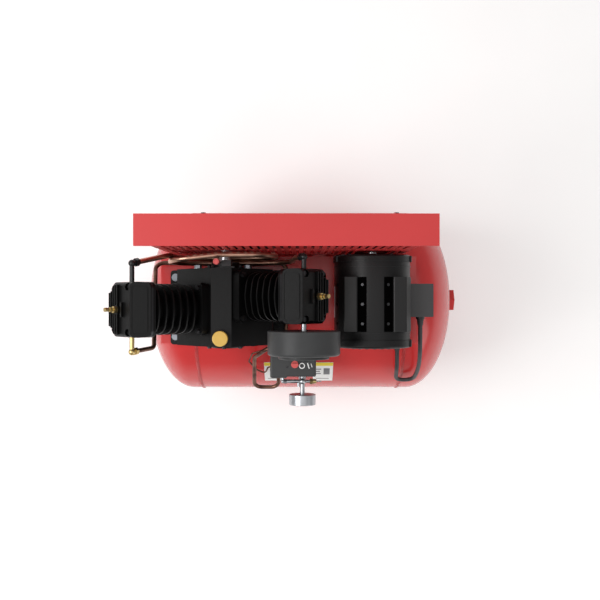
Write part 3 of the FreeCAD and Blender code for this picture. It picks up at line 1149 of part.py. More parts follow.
def make_labels():
    """Two thin blank plates that follow the barrel below the platform's front edge."""
    foot, normal, _ = check_valve_frame()
    plates = []
    sector = []
    for angle in (28.0, 48.5):
        turn = math.radians(angle)
        sector.append((-math.cos(turn) * 400.0, TANK_Z + math.sin(turn) * 400.0))
    for x_low in (-117.0, 43.0):
        skin = ring((x_low, 0, TANK_Z), X_AXIS, TANK_RADIUS + 0.6, TANK_RADIUS, 65.0)
        outline = [(x_low, 0, TANK_Z)] + [(x_low, y, z) for y, z in sector]
        plate = skin.common(polygon_prism(outline, (65.0, 0, 0)))
        plates.append(plate.cut(cylinder(foot - normal * 4.0, normal, 26.0, 24.0)))
    return {"tank_labels": Part.Compound(plates)}


def print_tube(name, solid, length, radii, diameter, wall):
    inner = 0.0 if wall is None else diameter / 2 - wall
    section = math.pi * ((diameter / 2) ** 2 - inner ** 2)
    ratio = solid.Volume / (section * length)
    rounded = [round(radius, 1) for radius in radii]
    print(name, "length", round(length, 1), "volume ratio", round(ratio, 4), "radii", rounded)


def main():
    os.makedirs("parts", exist_ok=True)
    nodes = {}
    for make in (make_tank, make_tank_drain, make_pump_body, make_crank_train, make_top_end, make_intercooler,
                 make_discharge, make_intake, make_drive, make_guard, make_motor, make_cable, make_switch,
                 make_manifold, make_gauge, make_labels):
        nodes.update(make())
    for name, shape in nodes.items():
        if not shape.isValid():
            print("not valid:", name)
        shape.exportStep(f"parts/{name}.step")
    print(len(nodes), "nodes")


main()
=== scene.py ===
import math

import bmesh
import bpy
from mathutils import Matrix, Vector


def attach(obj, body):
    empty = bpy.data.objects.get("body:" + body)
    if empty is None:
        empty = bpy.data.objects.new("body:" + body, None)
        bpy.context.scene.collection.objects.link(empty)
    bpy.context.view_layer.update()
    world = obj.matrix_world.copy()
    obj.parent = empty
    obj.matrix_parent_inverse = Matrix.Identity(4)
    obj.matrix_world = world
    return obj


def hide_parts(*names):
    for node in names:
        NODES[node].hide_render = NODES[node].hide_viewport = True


# Two-stage air compressor. Metres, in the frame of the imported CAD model:
# X along the tank, +Y towards the belt guard, Z up from the floor.

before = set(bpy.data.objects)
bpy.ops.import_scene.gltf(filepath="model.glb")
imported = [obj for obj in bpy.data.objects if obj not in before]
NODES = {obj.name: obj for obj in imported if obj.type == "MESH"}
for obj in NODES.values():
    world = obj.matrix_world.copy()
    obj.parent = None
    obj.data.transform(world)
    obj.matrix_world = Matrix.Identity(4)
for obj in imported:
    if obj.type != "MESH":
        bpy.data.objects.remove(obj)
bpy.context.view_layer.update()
TANK_Z = 0.400
TANK_RADIUS = 0.305
WELD_X = 0.333
WELD_DEPTH = 0.0012
WELD_BOW = 380.0
WELD_RIPPLES = 430.0
COVER_HUMP = 0.050
COVER_EDGE = 0.0005
MOTOR_X = 0.215
MOTOR_Z = 0.850

# ---------------------------------------------------------------- camera, cord, floor and light

CAMERA_HEIGHT = 3.336
CAMERA_LENS = 50.0
CAMERA_SENSOR = 36.0

camera_data = bpy.data.cameras.new("camera")
camera_data.lens = CAMERA_LENS
camera_data.sensor_width = CAMERA_SENSOR
camera_data.clip_end = 60.0
camera = bpy.data.objects.new("camera", camera_data)
camera.location = (0.0, 0.0, CAMERA_HEIGHT)
bpy.context.collection.objects.link(camera)
bpy.context.scene.camera = camera
bpy.context.scene.view_settings.view_transform = "Standard"


def mesh_object(name, body, bm, smooth_angle=None):
    """Finish a bmesh as a piece that rides on the body.

    Edges that turn by more than smooth_angle, in degrees, stay sharp.
    """
    data = bpy.data.meshes.new(name)
    bmesh.ops.recalc_face_normals(bm, faces=bm.faces[:])
    if smooth_angle is not None:
        limit = math.radians(smooth_angle)
        for face in bm.faces:
            face.smooth = True
        for edge in bm.edges:
            edge.smooth = len(edge.link_faces) == 2 and edge.calc_face_angle(0.0) < limit
    bm.to_mesh(data)
    bm.free()
    piece = bpy.data.objects.new(name, data)
    bpy.context.collection.objects.link(piece)
    if body:
        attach(piece, body)
    return piece


CABLE_DIAMETER = 0.013
CABLE_POINTS = (
    (0.360, -0.076, 0.840),
    (0.360, -0.138, 0.840),
    (0.368, -0.184, 0.772),
    (0.373, -0.214, 0.708),
    (0.374, -0.241, 0.643),
    (0.372, -0.2562, 0.6015),
    (0.355, -0.263, 0.586),
    (0.331, -0.263, 0.586),
    (0.314, -0.2562, 0.6015),
    (0.311, -0.237, 0.643),
    (0.307, -0.207, 0.700),
    (0.307, -0.160, 0.700),
)


def make_cable():
    """Motor lead: out of the terminal box, down in a loop and back under the motor."""
    curve = bpy.data.curves.new("motor_lead_line", "CURVE")
    curve.dimensions = "3D"
    curve.resolution_u = 16
    curve.use_fill_caps = True
    spline = curve.splines.new("NURBS")
    spline.points.add(len(CABLE_POINTS) - 1)
    for point, place in zip(spline.points, CABLE_POINTS):
        point.co = (*place, 1.0)
    spline.order_u = 3
    spline.use_endpoint_u = True
    line = bpy.data.objects.new("motor_lead_line", curve)
    bpy.context.collection.objects.link(line)
    bpy.context.view_layer.update()
    path = [vertex.co.copy() for vertex in bpy.data.meshes.new_from_object(line).vertices]
    curve.bevel_depth = CABLE_DIAMETER / 2
    curve.bevel_resolution = 6
    bpy.context.view_layer.update()
    lead = bpy.data.objects.new("motor_lead", bpy.data.meshes.new_from_object(line))
    bpy.data.objects.remove(line)
    bpy.context.collection.objects.link(lead)
    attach(lead, "frame")
    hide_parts("motor_cable")
    return lead


SKY_RISE = (0.70, 0.96)
SKY_LEVELS = (0.38, 1.15)
LIGHTS = (
    ("key_light", (-2.4, -0.3, 3.4), 2.0, 80.0, (0.0, 0.0, 0.5)),
    ("fill_light", (2.6, -2.2, 2.0), 2.2, 30.0, (0.0, 0.0, 0.5)),
    ("rim_light", (-1.4, 2.8, 2.2), 2.0, 10.0, (0.0, 0.0, 0.6)),
)


def make_stage():
    bm = bmesh.new()
    bmesh.ops.create_grid(bm, x_segments=1, y_segments=1, size=9.0)
    floor = mesh_object("floor", None, bm)
    for name, place, size, watts, aim in LIGHTS:
        data = bpy.data.lights.new(name, "AREA")
        data.size = size
        data.energy = watts
        light = bpy.data.objects.new(name, data)
        light.location = place
        light.rotation_euler = (Vector(aim) - Vector(place)).to_track_quat("-Z", "Y").to_euler()
        bpy.context.collection.objects.link(light)
    world = bpy.data.worlds.new("studio")
    bpy.context.scene.world = world
    world.use_nodes = True
    sky = world.node_tree
    height = sky.nodes.new("ShaderNodeSeparateXYZ")
    sky.links.new(sky.nodes.new("ShaderNodeTexCoord").outputs["Generated"], height.inputs[0])
    fade = sky.nodes.new("ShaderNodeMapRange")
    fade.interpolation_type = "SMOOTHSTEP"
    sky.links.new(height.outputs["Z"], fade.inputs[0])
    for socket, level in zip(fade.inputs[1:5], SKY_RISE + SKY_LEVELS):
        socket.default_value = level
    sky.links.new(fade.outputs[0], sky.nodes["Background"].inputs["Strength"])
    sky.nodes["Background"].inputs["Color"].default_value = (1.0, 0.99, 0.985, 1.0)
    return floor


# ---------------------------------------------------------------- materials

def new_material(name):
    material = bpy.data.materials.new(name)
    material.use_nodes = True
    material.node_tree.nodes.clear()
    shader = add(material, "ShaderNodeBsdfPrincipled")
    add(material, "ShaderNodeOutputMaterial", {"Surface": shader.outputs[0]})
    return material, shader


def add(material, kind, inputs=None, **settings):
    """Add a node; inputs maps a socket name or number to a value or to another node's output."""
    made = material.node_tree.nodes.new(kind)
    for key, value in settings.items():
        setattr(made, key, value)
    for key, value in (inputs or {}).items():
        socket = made.inputs[key]
        if isinstance(value, bpy.types.NodeSocket):
            material.node_tree.links.new(value, socket)
        else:
            socket.default_value = value
    return made


def link(material, output, socket):
    material.node_tree.links.new(output, socket)


def coordinates(material, scale=(1.0, 1.0, 1.0)):
    place = add(material, "ShaderNodeTexCoord").outputs["Object"]
    return add(material, "ShaderNodeMapping", {"Vector": place, "Scale": scale}).outputs[0]


def noise(material, scale, detail=3.0, stretch=(1.0, 1.0, 1.0), rough=0.55):
    place = coordinates(material, stretch)
    settings = {"Vector": place, "Scale": scale, "Detail": detail, "Roughness": rough}
    return add(material, "ShaderNodeTexNoise", settings).outputs["Fac"]


def mapped(material, value, low, high, start=0.3, end=0.7):
    """Spread a 0-1 pattern over a number range."""
    made = add(material, "ShaderNodeMapRange", {0: value, 1: start, 2: end, 3: low, 4: high})
    return made.outputs[0]


def mixed(material, factor, first, second):
    made = add(material, "ShaderNodeMix", data_type="RGBA")
    for key, value in ((0, factor), (6, first), (7, second)):
        if isinstance(value, bpy.types.NodeSocket):
            link(material, value, made.inputs[key])
        else:
            made.inputs[key].default_value = value if key == 0 else (*value, 1.0)
    return made.outputs[2]


def shade(colour, factor):
    return tuple(min(1.0, part * factor) for part in colour)


def maths(material, operation, *values):
    return add(material, "ShaderNodeMath", dict(enumerate(values)), operation=operation).outputs[0]


def product(material, first, second):
    return maths(material, "MULTIPLY", first, second)


def object_axes(material):
    place = add(material, "ShaderNodeTexCoord").outputs["Object"]
    return add(material, "ShaderNodeSeparateXYZ", {0: place}).outputs


def edge_mask(material, radius):
    """1 along outer and inner edges, 0 on open faces."""
    rounded = add(material, "ShaderNodeBevel", {"Radius": radius}, samples=4).outputs[0]
    plain = add(material, "ShaderNodeNewGeometry").outputs["Normal"]
    both = {0: rounded, 1: plain}
    along = add(material, "ShaderNodeVectorMath", both, operation="DOT_PRODUCT")
    return mapped(material, along.outputs["Value"], 1.0, 0.0, 0.80, 0.995)


def bump(material, shader, height, distance, strength=1.0, after=None):
    inputs = {"Height": height, "Distance": distance, "Strength": strength}
    if after is not None:
        inputs["Normal"] = after
    made = add(material, "ShaderNodeBump", inputs)
    link(material, made.outputs[0], shader.inputs["Normal"])
    return made.outputs[0]


def paint(name, colour, rough=(0.20, 0.26), peel=0.00006, edge=1.35, gloss=0.5, weld=False):
    """Sprayed enamel: orange peel, slow colour drift, and a painted highlight along the edges,
    where the colour is lightened by the edge factor in noisy patches.
    """
    material, shader = new_material(name)
    drift = mapped(material, noise(material, 5.0, 4.0), 0.0, 1.0)
    body = mixed(material, drift, shade(colour, 0.94), colour)
    # Painted edge highlight from here: noisy patches along the edges lighten the colour by the edge
    # factor.
    speck = mapped(material, noise(material, 160.0, 2.0), 0.0, 1.0, 0.45, 0.62)
    edge_patchiness = mapped(material, speck, 0.225, 0.5, 0.0, 1.0)
    edge_highlight_and_wear = product(material, edge_mask(material, 0.0014), edge_patchiness)
    link(material, mixed(material, edge_highlight_and_wear, body, shade(colour, edge)), shader.inputs["Base Color"])
    sheen = mapped(material, noise(material, 7.0, 1.5), rough[0], rough[1])
    link(material, sheen, shader.inputs["Roughness"])
    shader.inputs["Specular IOR Level"].default_value = gloss
    peeled = bump(material, shader, noise(material, 420.0, 1.5), peel)
    if weld:
        bump(material, shader, weld_ripple(material), WELD_DEPTH, 0.9, peeled)
    return material


def cover_paint():
    """Motor black, with painted shade: a near-black strip without specular on each flange beside
    the pressed hump, standing in for the shaded recess.
    """
    gloss = 0.34
    material = paint("cover_black_painted_shade", (0.007, 0.007, 0.0073), rough=(0.34, 0.42), peel=0.00015,
                     edge=6.0, gloss=gloss)
    shader = material.node_tree.nodes["Principled BSDF"]
    # Painted shade: on the flanges within COVER_HUMP of the motor's centre line the colour goes
    # near black and the specular goes to zero.
    away = maths(material, "ABSOLUTE",
                 maths(material, "SUBTRACT", object_axes(material)["X"], MOTOR_X))
    outside_painted_shade = mapped(material, away, 0.0, 1.0, COVER_HUMP - COVER_EDGE, COVER_HUMP + COVER_EDGE)
    painted = shader.inputs["Base Color"].links[0].from_socket
    colour = mixed(material, outside_painted_shade, (0.0012, 0.0012, 0.0012), painted)
    link(material, colour, shader.inputs["Base Color"])
    link(material, product(material, outside_painted_shade, gloss), shader.inputs["Specular IOR Level"])
    return material


def weld_ripple(material):
    """Overlapping ripples along the two weld beads that join the heads to the barrel."""
    axes = object_axes(material)
    side = maths(material, "ABSOLUTE", axes["X"])
    away = maths(material, "ABSOLUTE", maths(material, "SUBTRACT", side, WELD_X))
    band = mapped(material, away, 1.0, 0.0, 0.004, 0.007)
    level = maths(material, "SUBTRACT", axes["Z"], TANK_Z)
    turn = maths(material, "ARCTAN2", axes["Y"], level)
    bowed = maths(material, "MULTIPLY_ADD", away, WELD_BOW,
                  product(material, turn, WELD_RIPPLES))
    return product(material, maths(material, "SINE", bowed), band)


def casting(name, colour, rough=(0.36, 0.46), grain=0.00022, edge=9.0, gloss=0.22):
    """Painted sand casting: coarse grain under the paint, and edges lightened by the edge factor in
    noisy patches, a painted edge highlight that also stands for rubbed paint.
    """
    material, shader = new_material(name)
    grainy = noise(material, 650.0, 3.0, rough=0.6)
    cloudy = mapped(material, noise(material, 14.0, 4.0), 0.0, 1.0)
    body = mixed(material, cloudy, shade(colour, 0.8), shade(colour, 1.2))
    # Painted edge highlight, partly also rubbed paint: noisy patches along the edges lighten the
    # colour by the edge factor.
    edge_patchiness = mapped(material, noise(material, 90.0, 3.0), 0.15, 0.8)
    edge_highlight_and_wear = product(material, edge_mask(material, 0.0018), edge_patchiness)
    link(material, mixed(material, edge_highlight_and_wear, body, shade(colour, edge)), shader.inputs["Base Color"])
    link(material, mapped(material, grainy, rough[0], rough[1]), shader.inputs["Roughness"])
    shader.inputs["Specular IOR Level"].default_value = gloss
    lumps = noise(material, 90.0, 2.0)
    first = bump(material, shader, lumps, grain * 2.0, 0.6)
    bump(material, shader, grainy, grain, 0.9, first)
    return material


def bare_metal(name, colour, rough, stretch=(1.0, 1.0, 1.0), scale=300.0, depth=0.00005,
               dull=0.82):
    """Plated or machined metal: fine tool marks along one direction, faint tarnish."""
    material, shader = new_material(name)
    marks = noise(material, scale, 3.0, stretch)
    stain = mapped(material, noise(material, 35.0, 4.0), 0.0, 1.0, 0.35, 0.75)
    tone = mixed(material, stain, colour, shade(colour, dull))
    link(material, tone, shader.inputs["Base Color"])
    link(material, mapped(material, marks, rough[0], rough[1]), shader.inputs["Roughness"])
    shader.inputs["Metallic"].default_value = 1.0
    bump(material, shader, marks, depth)
    return material


def browned_copper():
    """Copper tube darkened by heat: brown oxide in soft patches over warm metal."""
    material, shader = new_material("browned_copper")
    patch = mapped(material, noise(material, 28.0, 5.0), 0.0, 1.0, 0.35, 0.68)
    tone = mixed(material, patch, (0.075, 0.036, 0.026), (0.24, 0.125, 0.085))
    link(material, tone, shader.inputs["Base Color"])
    link(material, mapped(material, patch, 0.42, 0.28, 0.0, 1.0), shader.inputs["Roughness"])
    shader.inputs["Metallic"].default_value = 0.85
    bump(material, shader, noise(material, 500.0, 2.0), 0.00004)
    return material


def plastic(name, colour, rough=(0.38, 0.5), texture=0.00012, edge=1.25, gloss=0.5):
    """Moulded plastic: spark-eroded texture and a faint painted highlight along the edges, which
    lightens their colour by the edge factor.
    """
    material, shader = new_material(name)
    tone = mapped(material, noise(material, 40.0, 3.0), 0.0, 1.0)
    body = mixed(material, tone, shade(colour, 0.93), colour)
    # Painted edge highlight: half strength along the edges, lightening the colour by the edge
    # factor.
    edge_highlight_and_wear = product(material, edge_mask(material, 0.001), 0.5)
    link(material, mixed(material, edge_highlight_and_wear, body, shade(colour, edge)), shader.inputs["Base Color"])
    sheen = mapped(material, noise(material, 70.0, 3.0), rough[0], rough[1])
    link(material, sheen, shader.inputs["Roughness"])
    shader.inputs["Specular IOR Level"].default_value = gloss
    bump(material, shader, noise(material, 900.0, 2.0), texture)
    return material


def wave(material, scale, direction):
    settings = {"Vector": coordinates(material), "Scale": scale}
    made = add(material, "ShaderNodeTexWave", settings, bands_direction=direction)
    return made.outputs["Fac"]


def rubber(name, colour, rib=None):
    """Dusty rubber; rib is the scale of moulded ribs, as on a belt."""
    material, shader = new_material(name)
    dusty = mapped(material, noise(material, 60.0, 5.0), 0.0, 1.0, 0.4, 0.75)
    link(material, mixed(material, dusty, colour, shade(colour, 2.1)), shader.inputs["Base Color"])
    link(material, mapped(material, dusty, 0.5, 0.72, 0.0, 1.0), shader.inputs["Roughness"])
    height = wave(material, rib, "DIAGONAL") if rib else noise(material, 1400.0, 2.0)
    bump(material, shader, height, 0.0002, 0.6)
    return material


def paper(name, colour, pleat):
    """Pleated filter paper, with painted shade darkening the pleat valleys."""
    material, shader = new_material(name)
    fold = wave(material, pleat, "X")
    # Painted shade: the colour darkens to 0.6 of its value along the pleat valleys, following the
    # pleat bump.
    link(material, mixed(material, fold, shade(colour, 0.6), colour), shader.inputs["Base Color"])
    shader.inputs["Roughness"].default_value = 0.9
    bump(material, shader, fold, 0.002)
    return material


def film(name, colour):
    """Printed label film with faint rubbing marks."""
    material, shader = new_material(name)
    streaks = noise(material, 55.0, 5.0, (1.0, 4.0, 1.0))
    rubbed = mapped(material, streaks, 0.0, 1.0, 0.5, 0.8)
    link(material, mixed(material, rubbed, colour, shade(colour, 0.9)), shader.inputs["Base Color"])
    link(material, mapped(material, rubbed, 0.3, 0.5, 0.0, 1.0), shader.inputs["Roughness"])
    bump(material, shader, noise(material, 300.0, 1.0), 0.00003)
    return material


def clear_lens():
    material, shader = new_material("lens_glass")
    shader.inputs["Base Color"].default_value = (0.97, 0.985, 0.99, 1.0)
    shader.inputs["Transmission Weight"].default_value = 1.0
    shader.inputs["IOR"].default_value = 1.2
    haze = mapped(material, noise(material, 120.0, 3.0), 0.01, 0.05)
    link(material, haze, shader.inputs["Roughness"])
    return material


def floor_material():
    material, shader = new_material("studio_floor")
    tone = mapped(material, noise(material, 3.0, 3.0), 0.0, 1.0)
    colour = mixed(material, tone, (0.90, 0.895, 0.89), (0.92, 0.915, 0.91))
    link(material, colour, shader.inputs["Base Color"])
    shader.inputs["Roughness"].default_value = 0.75
    shader.inputs["Specular IOR Level"].default_value = 0.1
    shader.inputs["Emission Color"].default_value = (1.0, 0.99, 0.985, 1.0)
    shader.inputs["Emission Strength"].default_value = 0.13
    return material


RED = (0.57, 0.030, 0.030)
MATERIALS = {
    "tank_enamel": paint("tank_enamel", RED, weld=True),
    "red_enamel": paint("red_enamel", RED),
    "guard_red": paint("guard_red", RED, rough=(0.36, 0.44)),
    "black_enamel": paint("black_enamel", (0.008, 0.008, 0.0085), rough=(0.3, 0.38), edge=4.0,
                          gloss=0.35),
    "cast_black": casting("cast_black", (0.0012, 0.0012, 0.0013)),
    "cast_pulley": casting("cast_pulley", (0.030, 0.031, 0.033), grain=0.0005, edge=2.4),
    "motor_black": paint("motor_black", (0.005, 0.005, 0.0053), rough=(0.36, 0.42),
                         peel=0.00015, edge=6.0, gloss=0.28),
    "cover_black_painted_shade": cover_paint(),
    "grey_enamel": paint("grey_enamel", (0.048, 0.048, 0.049), rough=(0.45, 0.55), edge=1.9,
                         gloss=0.4),
    "dark_steel": bare_metal("dark_steel", (0.055, 0.055, 0.058), (0.32, 0.45)),
    "plated_steel": bare_metal("plated_steel", (0.46, 0.475, 0.50), (0.29, 0.40)),
    "zinc_steel": bare_metal("zinc_steel", (0.27, 0.29, 0.32), (0.34, 0.46)),
    "shaft_steel": bare_metal("shaft_steel", (0.58, 0.58, 0.60), (0.29, 0.38), (1.0, 12.0, 1.0),
                              scale=160.0),
    "laminated": bare_metal("laminated", (0.24, 0.24, 0.25), (0.4, 0.6), (1.0, 40.0, 1.0),
                            scale=50.0, depth=0.0003),
    "aluminium": bare_metal("aluminium", (0.72, 0.73, 0.75), (0.3, 0.45), scale=450.0),
    "brass": bare_metal("brass", (0.66, 0.50, 0.22), (0.29, 0.4), scale=380.0),
    "copper": bare_metal("copper", (0.62, 0.37, 0.27), (0.29, 0.4), scale=60.0, depth=0.00002,
                         dull=0.6),
    "browned_copper": browned_copper(),
    "oil_yellow": plastic("oil_yellow", (0.64, 0.40, 0.075), (0.3, 0.38), 0.00005),
    "red_plastic": plastic("red_plastic", (0.62, 0.085, 0.08), (0.3, 0.38), 0.00006),
    "dark_plastic": plastic("dark_plastic", (0.030, 0.031, 0.032), (0.45, 0.55)),
    "grey_plastic": plastic("grey_plastic", (0.048, 0.049, 0.050), (0.38, 0.44), 0.00006,
                            gloss=0.15),
    "black_plastic": plastic("black_plastic", (0.014, 0.014, 0.015), edge=2.0),
    "rubber_black": rubber("rubber_black", (0.018, 0.018, 0.019)),
    "belt_rubber": rubber("belt_rubber", (0.020, 0.020, 0.021), rib=170.0),
    "filter_paper": paper("filter_paper", (0.62, 0.55, 0.40), 60.0),
    "label_white": film("label_white", (0.86, 0.86, 0.84)),
    "label_yellow": film("label_yellow", (0.85, 0.66, 0.05)),
    "print_grey": film("print_grey", (0.16, 0.16, 0.17)),
    "print_white": film("print_white", (0.80, 0.80, 0.79)),
    "dial_white": film("dial_white", (0.88, 0.88, 0.86)),
    "lens_glass": clear_lens(),
    "floor": floor_material(),
}

NODE_MATERIALS = {
    "tank_enamel": "tank_vessel",
    "red_enamel": "tank_feet platform end_plugs",
    "guard_red": "guard_front guard_rear guard_top guard_ends",
    "cast_black": "crankcase bearing_covers cylinders cylinder_heads",
    "cast_pulley": "flywheel motor_pulley",
    "black_enamel": "intercooler_elbows motor_base",
    "motor_black": "motor_shell motor_bells",
    "cover_black_painted_shade": "capacitor_covers",
    "grey_enamel": "terminal_box",
    "dark_steel": "cover_bolts cover_screws head_bolts valve_plates",
    "zinc_steel": "mounting_bolts",
    "plated_steel": "drain_handle manifold intake_pipe safety_valve_ring gauge_case switch_base",
    "shaft_steel": "crankshaft wrist_pins ball_bearings motor_rotor",
    "laminated": "motor_stator",
    "aluminium": "con_rods pistons",
    "brass": "drain_valve relief_valves safety_valve discharge_fittings",
    "copper": "intercooler_tube",
    "browned_copper": "discharge_tube unloader_tube",
    "oil_yellow": "oil_cap",
    "red_plastic": "breather_cap switch_knob",
    "dark_plastic": "switch_cover",
    "grey_plastic": "filter_canister filter_cap",
    "black_plastic": "breather gauge_needle",
    "rubber_black": "cable_glands",
    "belt_rubber": "drive_belts",
    "filter_paper": "filter_element",
    "label_white": "tank_labels",
    "dial_white": "gauge_dial",
    "lens_glass": "gauge_lens",
}


def dress(piece, material):
    piece.data.materials.clear()
    piece.data.materials.append(MATERIALS[material])
    return piece


def dress_nodes():
    for material, names in NODE_MATERIALS.items():
        for name in names.split():
            dress(NODES[name], material)


# ---------------------------------------------------------------- added detail

# Figures on a part's shape are metres from its own centre: (radius, height) or (reach, half width).

SWITCH_TOP = 0.800
CASE_FRONT = -0.133
MOTOR_FRONT = -0.140
MOTOR_VANES = 24
PLATE_STEPS = 10
GAUGE_CENTRE = Vector((0.0076, -0.3110, 0.700))
GAUGE_TICKS = 56
GAUGE_START = 225.0
GAUGE_SWEEP = 270.0
TICK_OUTER = 0.0325
FIGURE_RADIUS = 0.0215
FIGURE_SIZE = 0.0062
LABEL_LIFT = 0.0010


def block(bm, centre, size, turn=0.0, taper=0.8):
    """Low plate with bevelled upper edges: a frustum with its long axis turned about Z."""
    half = [part / 2 for part in size]
    rows = []
    for level, share in ((-half[2], 1.0), (half[2] * 0.4, 1.0), (half[2], taper)):
        ring = []
        for across, along in ((-1, -1), (1, -1), (1, 1), (-1, 1)):
            inset = (1.0 - share) * min(half[0], half[1])
            x = across * (half[0] - inset)
            y = along * (half[1] - inset)
            spot = Matrix.Rotation(turn, 3, "Z") @ Vector((x, y, level))
            ring.append(bm.verts.new(Vector(centre) + spot))
        rows.append(ring)
    bm.faces.new(rows[0][::-1])
    bm.faces.new(rows[-1])
    for lower, upper in zip(rows, rows[1:]):
        for step in range(4):
            bm.faces.new((lower[step], lower[(step + 1) % 4], upper[(step + 1) % 4], upper[step]))


def lathe(bm, centre, axis, profile, segments=48):
    """Closed turned piece: profile is a loop of (radius, height) pairs about the axis."""
    turn = Vector(axis).to_track_quat("Z", "Y")
    rings = []
    for step in range(segments):
        angle = 2 * math.pi * step / segments
        ring = []
        for radius, height in profile:
            spot = turn @ Vector((radius * math.cos(angle), radius * math.sin(angle), height))
            ring.append(bm.verts.new(Vector(centre) + spot))
        rings.append(ring)
    count = len(profile)
    for step in range(segments):
        here, there = rings[step], rings[(step + 1) % segments]
        for index in range(count):
            after = (index + 1) % count
            bm.faces.new((here[index], there[index], there[after], here[after]))


def turned(name, body, material, centre, axis, profile, segments=48, smooth_angle=35.0):
    bm = bmesh.new()
    lathe(bm, centre, axis, profile, segments)
    bmesh.ops.remove_doubles(bm, verts=bm.verts[:], dist=1e-6)
    return dress(mesh_object(name, body, bm, smooth_angle), material)


def make_switch_marks():
    """Printed ring and bars beside the knob, and a small screw head."""
    turned("switch_ring_mark", "frame", "print_white", (0.006, -0.2005, SWITCH_TOP), (0, 0, 1),
           [(0.0062, -0.0004), (0.0090, -0.0004), (0.0090, 0.0003), (0.0062, 0.0003)])
    bm = bmesh.new()
    block(bm, (0.0255, -0.2005, SWITCH_TOP), (0.0032, 0.0185, 0.0008), math.radians(18))
    block(bm, (0.0350, -0.1990, SWITCH_TOP), (0.0022, 0.0120, 0.0008), math.radians(18))
    dress(mesh_object("switch_bar_marks", "frame", bm), "print_white")
    bm = bmesh.new()
    lathe(bm, (-0.038, -0.2045, SWITCH_TOP), (0, 0, 1),
          [(0.0, -0.002), (0.0034, -0.002), (0.0034, 0.0004), (0.0028, 0.0009),
           (0.0012, 0.0010), (0.0011, 0.0002), (0.0, 0.0002)], 24)
    bmesh.ops.remove_doubles(bm, verts=bm.verts[:], dist=1e-6)
    dress(mesh_object("switch_screw", "frame", bm, 35.0), "dark_steel")


def make_gauge_print():
    """Ticks round the dial and plain figures from 0 to 14, on its front face."""
    bm = bmesh.new()
    front = GAUGE_CENTRE.y - 0.0003
    for step in range(GAUGE_TICKS + 1):
        angle = math.radians(GAUGE_START - GAUGE_SWEEP * (step / GAUGE_TICKS))
        inner, half = (0.0265, 0.00045) if step % 4 == 0 else (0.0290, 0.00022)
        out = Vector((math.cos(angle), 0.0, math.sin(angle)))
        side = Vector((-out.z, 0.0, out.x)) * half
        near, far = out * inner, out * TICK_OUTER
        corners = [near - side, far - side, far + side, near + side]
        rows = []
        for level in (0.0001, -0.0002):
            middle = Vector((GAUGE_CENTRE.x, front + level, GAUGE_CENTRE.z))
            rows.append([bm.verts.new(middle + corner) for corner in corners])
        bm.faces.new(rows[0])
        bm.faces.new(rows[1][::-1])
        for index in range(4):
            after = (index + 1) % 4
            bm.faces.new((rows[0][index], rows[1][index], rows[1][after], rows[0][after]))
    dress(mesh_object("gauge_ticks", "frame", bm), "print_grey")
    figures = bmesh.new()
    for step in range(8):
        angle = math.radians(GAUGE_START - GAUGE_SWEEP * step / 7)
        text = bpy.data.curves.new("figure", "FONT")
        text.body = str(step * 2)
        text.size = FIGURE_SIZE
        text.align_x = "CENTER"
        text.align_y = "CENTER"
        text.extrude = 0.00012
        line = bpy.data.objects.new("figure", text)
        bpy.context.collection.objects.link(line)
        bpy.context.view_layer.update()
        shape = bpy.data.meshes.new_from_object(line)
        bpy.data.objects.remove(line)
        spot = Vector((GAUGE_CENTRE.x + FIGURE_RADIUS * math.cos(angle), front,
                       GAUGE_CENTRE.z + FIGURE_RADIUS * math.sin(angle)))
        shape.transform(Matrix.Translation(spot) @ Matrix.Rotation(math.radians(90), 4, "X"))
        figures.from_mesh(shape)
    dress(mesh_object("gauge_figures", "frame", figures), "print_grey")


def label_sheet(name, material, x_range, angles):
    """Thin printed patch that follows the barrel; angles in degrees above the front horizon."""
    bm = bmesh.new()
    steps = 12
    rows = []
    for radius in (TANK_RADIUS + LABEL_LIFT - 0.0003, TANK_RADIUS + LABEL_LIFT):
        row = []
        for step in range(steps + 1):
            angle = math.radians(angles[0] + (angles[1] - angles[0]) * step / steps)
            y, z = -radius * math.cos(angle), TANK_Z + radius * math.sin(angle)
            row.append([bm.verts.new((x, y, z)) for x in x_range])
        rows.append(row)
    under, over = rows
    for step in range(steps):
        bm.faces.new((over[step][0], over[step][1], over[step + 1][1], over[step + 1][0]))
        bm.faces.new((under[step][1], under[step][0], under[step + 1][0], under[step + 1][1]))
        for side in (0, 1):
            bm.faces.new((under[step][side], over[step][side],
                          over[step + 1][side], under[step + 1][side]))
    for end in (0, -1):
        bm.faces.new((under[end][0], under[end][1], over[end][1], over[end][0]))
    bmesh.ops.recalc_face_normals(bm, faces=bm.faces[:])
    dress(mesh_object(name, "frame", bm, 40.0), material)


def make_label_prints():
    """Yellow band and plain grey bars on both blank labels."""
    for name, low, high, band in (("left", -0.1165, -0.0525, 0.020),
                                  ("right", 0.0435, 0.1075, 0.064)):
        label_sheet(name + "_label_band", "label_yellow", (low, low + band), (45.4, 48.3))
        if name == "right":
            label_sheet("right_label_block", "print_grey", (low + 0.034, high - 0.010),
                        (36.5, 43.0))
            for row, width in enumerate((0.018, 0.014, 0.017)):
                top = 42.6 - 2.3 * row
                label_sheet("right_label_line_%d" % row, "print_grey",
                            (low + 0.008, low + 0.008 + width), (top - 0.9, top))
        label_sheet(name + "_label_foot", "print_grey", (low + 0.010, high - 0.012),
                    (31.0, 31.7))


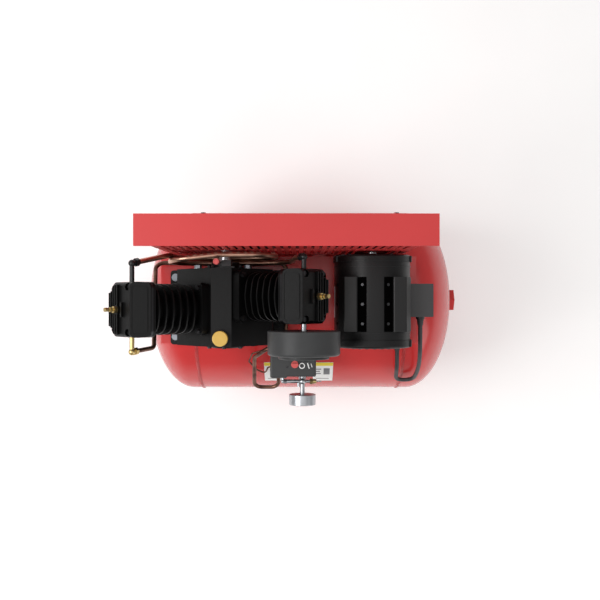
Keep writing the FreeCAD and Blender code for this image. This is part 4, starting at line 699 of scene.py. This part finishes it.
def make_case_details():
    """Oil sight glass and drain plug on the crankcase front."""
    centre = (-0.300, CASE_FRONT, 0.790)
    turned("oil_sight_rim", "frame", "plated_steel", centre, (0, -1, 0),
           [(0.0105, -0.002), (0.0160, -0.002), (0.0160, 0.003), (0.0148, 0.0045),
            (0.0120, 0.0045), (0.0105, 0.0025)])
    turned("oil_sight_glass", "frame", "oil_yellow", centre, (0, -1, 0),
           [(0.0, -0.002), (0.0107, -0.002), (0.0107, 0.0005), (0.0060, 0.0020), (0.0, 0.0025)])
    drain = (-0.146, CASE_FRONT, 0.772)
    turned("oil_drain_washer", "frame", "brass", drain, (0, -1, 0),
           [(0.0, -0.001), (0.0115, -0.001), (0.0115, 0.0015), (0.0, 0.0015)])
    turned("oil_drain_head", "frame", "dark_steel", drain, (0, -1, 0),
           [(0.0, 0.001), (0.0095, 0.001), (0.0095, 0.0075), (0.0080, 0.0090), (0.0, 0.0090)],
           6, 20.0)


def make_motor_details():
    """Hub and radial vanes on the motor's front end, and a blank nameplate on its left flank."""
    centre = Vector((MOTOR_X, MOTOR_FRONT, MOTOR_Z))
    turned("motor_hub", "frame", "motor_black", centre, (0, -1, 0),
           [(0.0, -0.001), (0.034, -0.001), (0.034, 0.0012), (0.031, 0.0030),
            (0.012, 0.0030), (0.010, 0.0012), (0.0, 0.0012)], 64)
    make_motor_vanes(centre)
    make_nameplate()


def make_motor_vanes(centre):
    bm = bmesh.new()
    for step in range(MOTOR_VANES):
        angle = 2 * math.pi * step / MOTOR_VANES
        out = Vector((math.cos(angle), 0, math.sin(angle)))
        side = Vector((-out.z, 0, out.x))
        rows = []
        for level, half in ((0.001, 0.0034), (-0.0014, 0.0034), (-0.0026, 0.0022)):
            spots = ((0.044, -half), (0.086, -half * 1.5), (0.086, half * 1.5), (0.044, half))
            middle = centre + Vector((0, level, 0))
            rows.append([bm.verts.new(middle + out * reach + side * width)
                         for reach, width in spots])
        bm.faces.new(rows[0])
        bm.faces.new(rows[-1][::-1])
        for first, second in zip(rows, rows[1:]):
            for index in range(4):
                after = (index + 1) % 4
                bm.faces.new((first[index], second[index], second[after], first[after]))
    dress(mesh_object("motor_vanes", "frame", bm), "motor_black")


def make_nameplate():
    bm = bmesh.new()
    rows = []
    for radius, inset in ((0.1122, 0.0), (0.1131, 0.0), (0.1134, 0.0006)):
        row = []
        for step in range(PLATE_STEPS + 1):
            angle = math.radians(172.0 + 30.0 * step / PLATE_STEPS)
            x, z = MOTOR_X + radius * math.cos(angle), MOTOR_Z + radius * math.sin(angle)
            row.append([bm.verts.new((x, y, z)) for y in (-0.052 + inset, 0.040 - inset)])
        rows.append(row)
    for lower, upper in zip(rows, rows[1:]):
        for step in range(PLATE_STEPS):
            for side in (0, 1):
                bm.faces.new((lower[step][side], upper[step][side],
                              upper[step + 1][side], lower[step + 1][side]))
        for end in (0, -1):
            bm.faces.new((lower[end][0], lower[end][1], upper[end][1], upper[end][0]))
    for row in (rows[0], rows[-1]):
        for step in range(PLATE_STEPS):
            bm.faces.new((row[step][0], row[step][1], row[step + 1][1], row[step + 1][0]))
    dress(mesh_object("motor_nameplate", "frame", bm, 30.0), "aluminium")


dress_nodes()
cable = make_cable()
dress(cable, "rubber_black")
make_switch_marks()
make_gauge_print()
make_label_prints()
make_case_details()
make_motor_details()
floor = make_stage()
dress(floor, "floor")
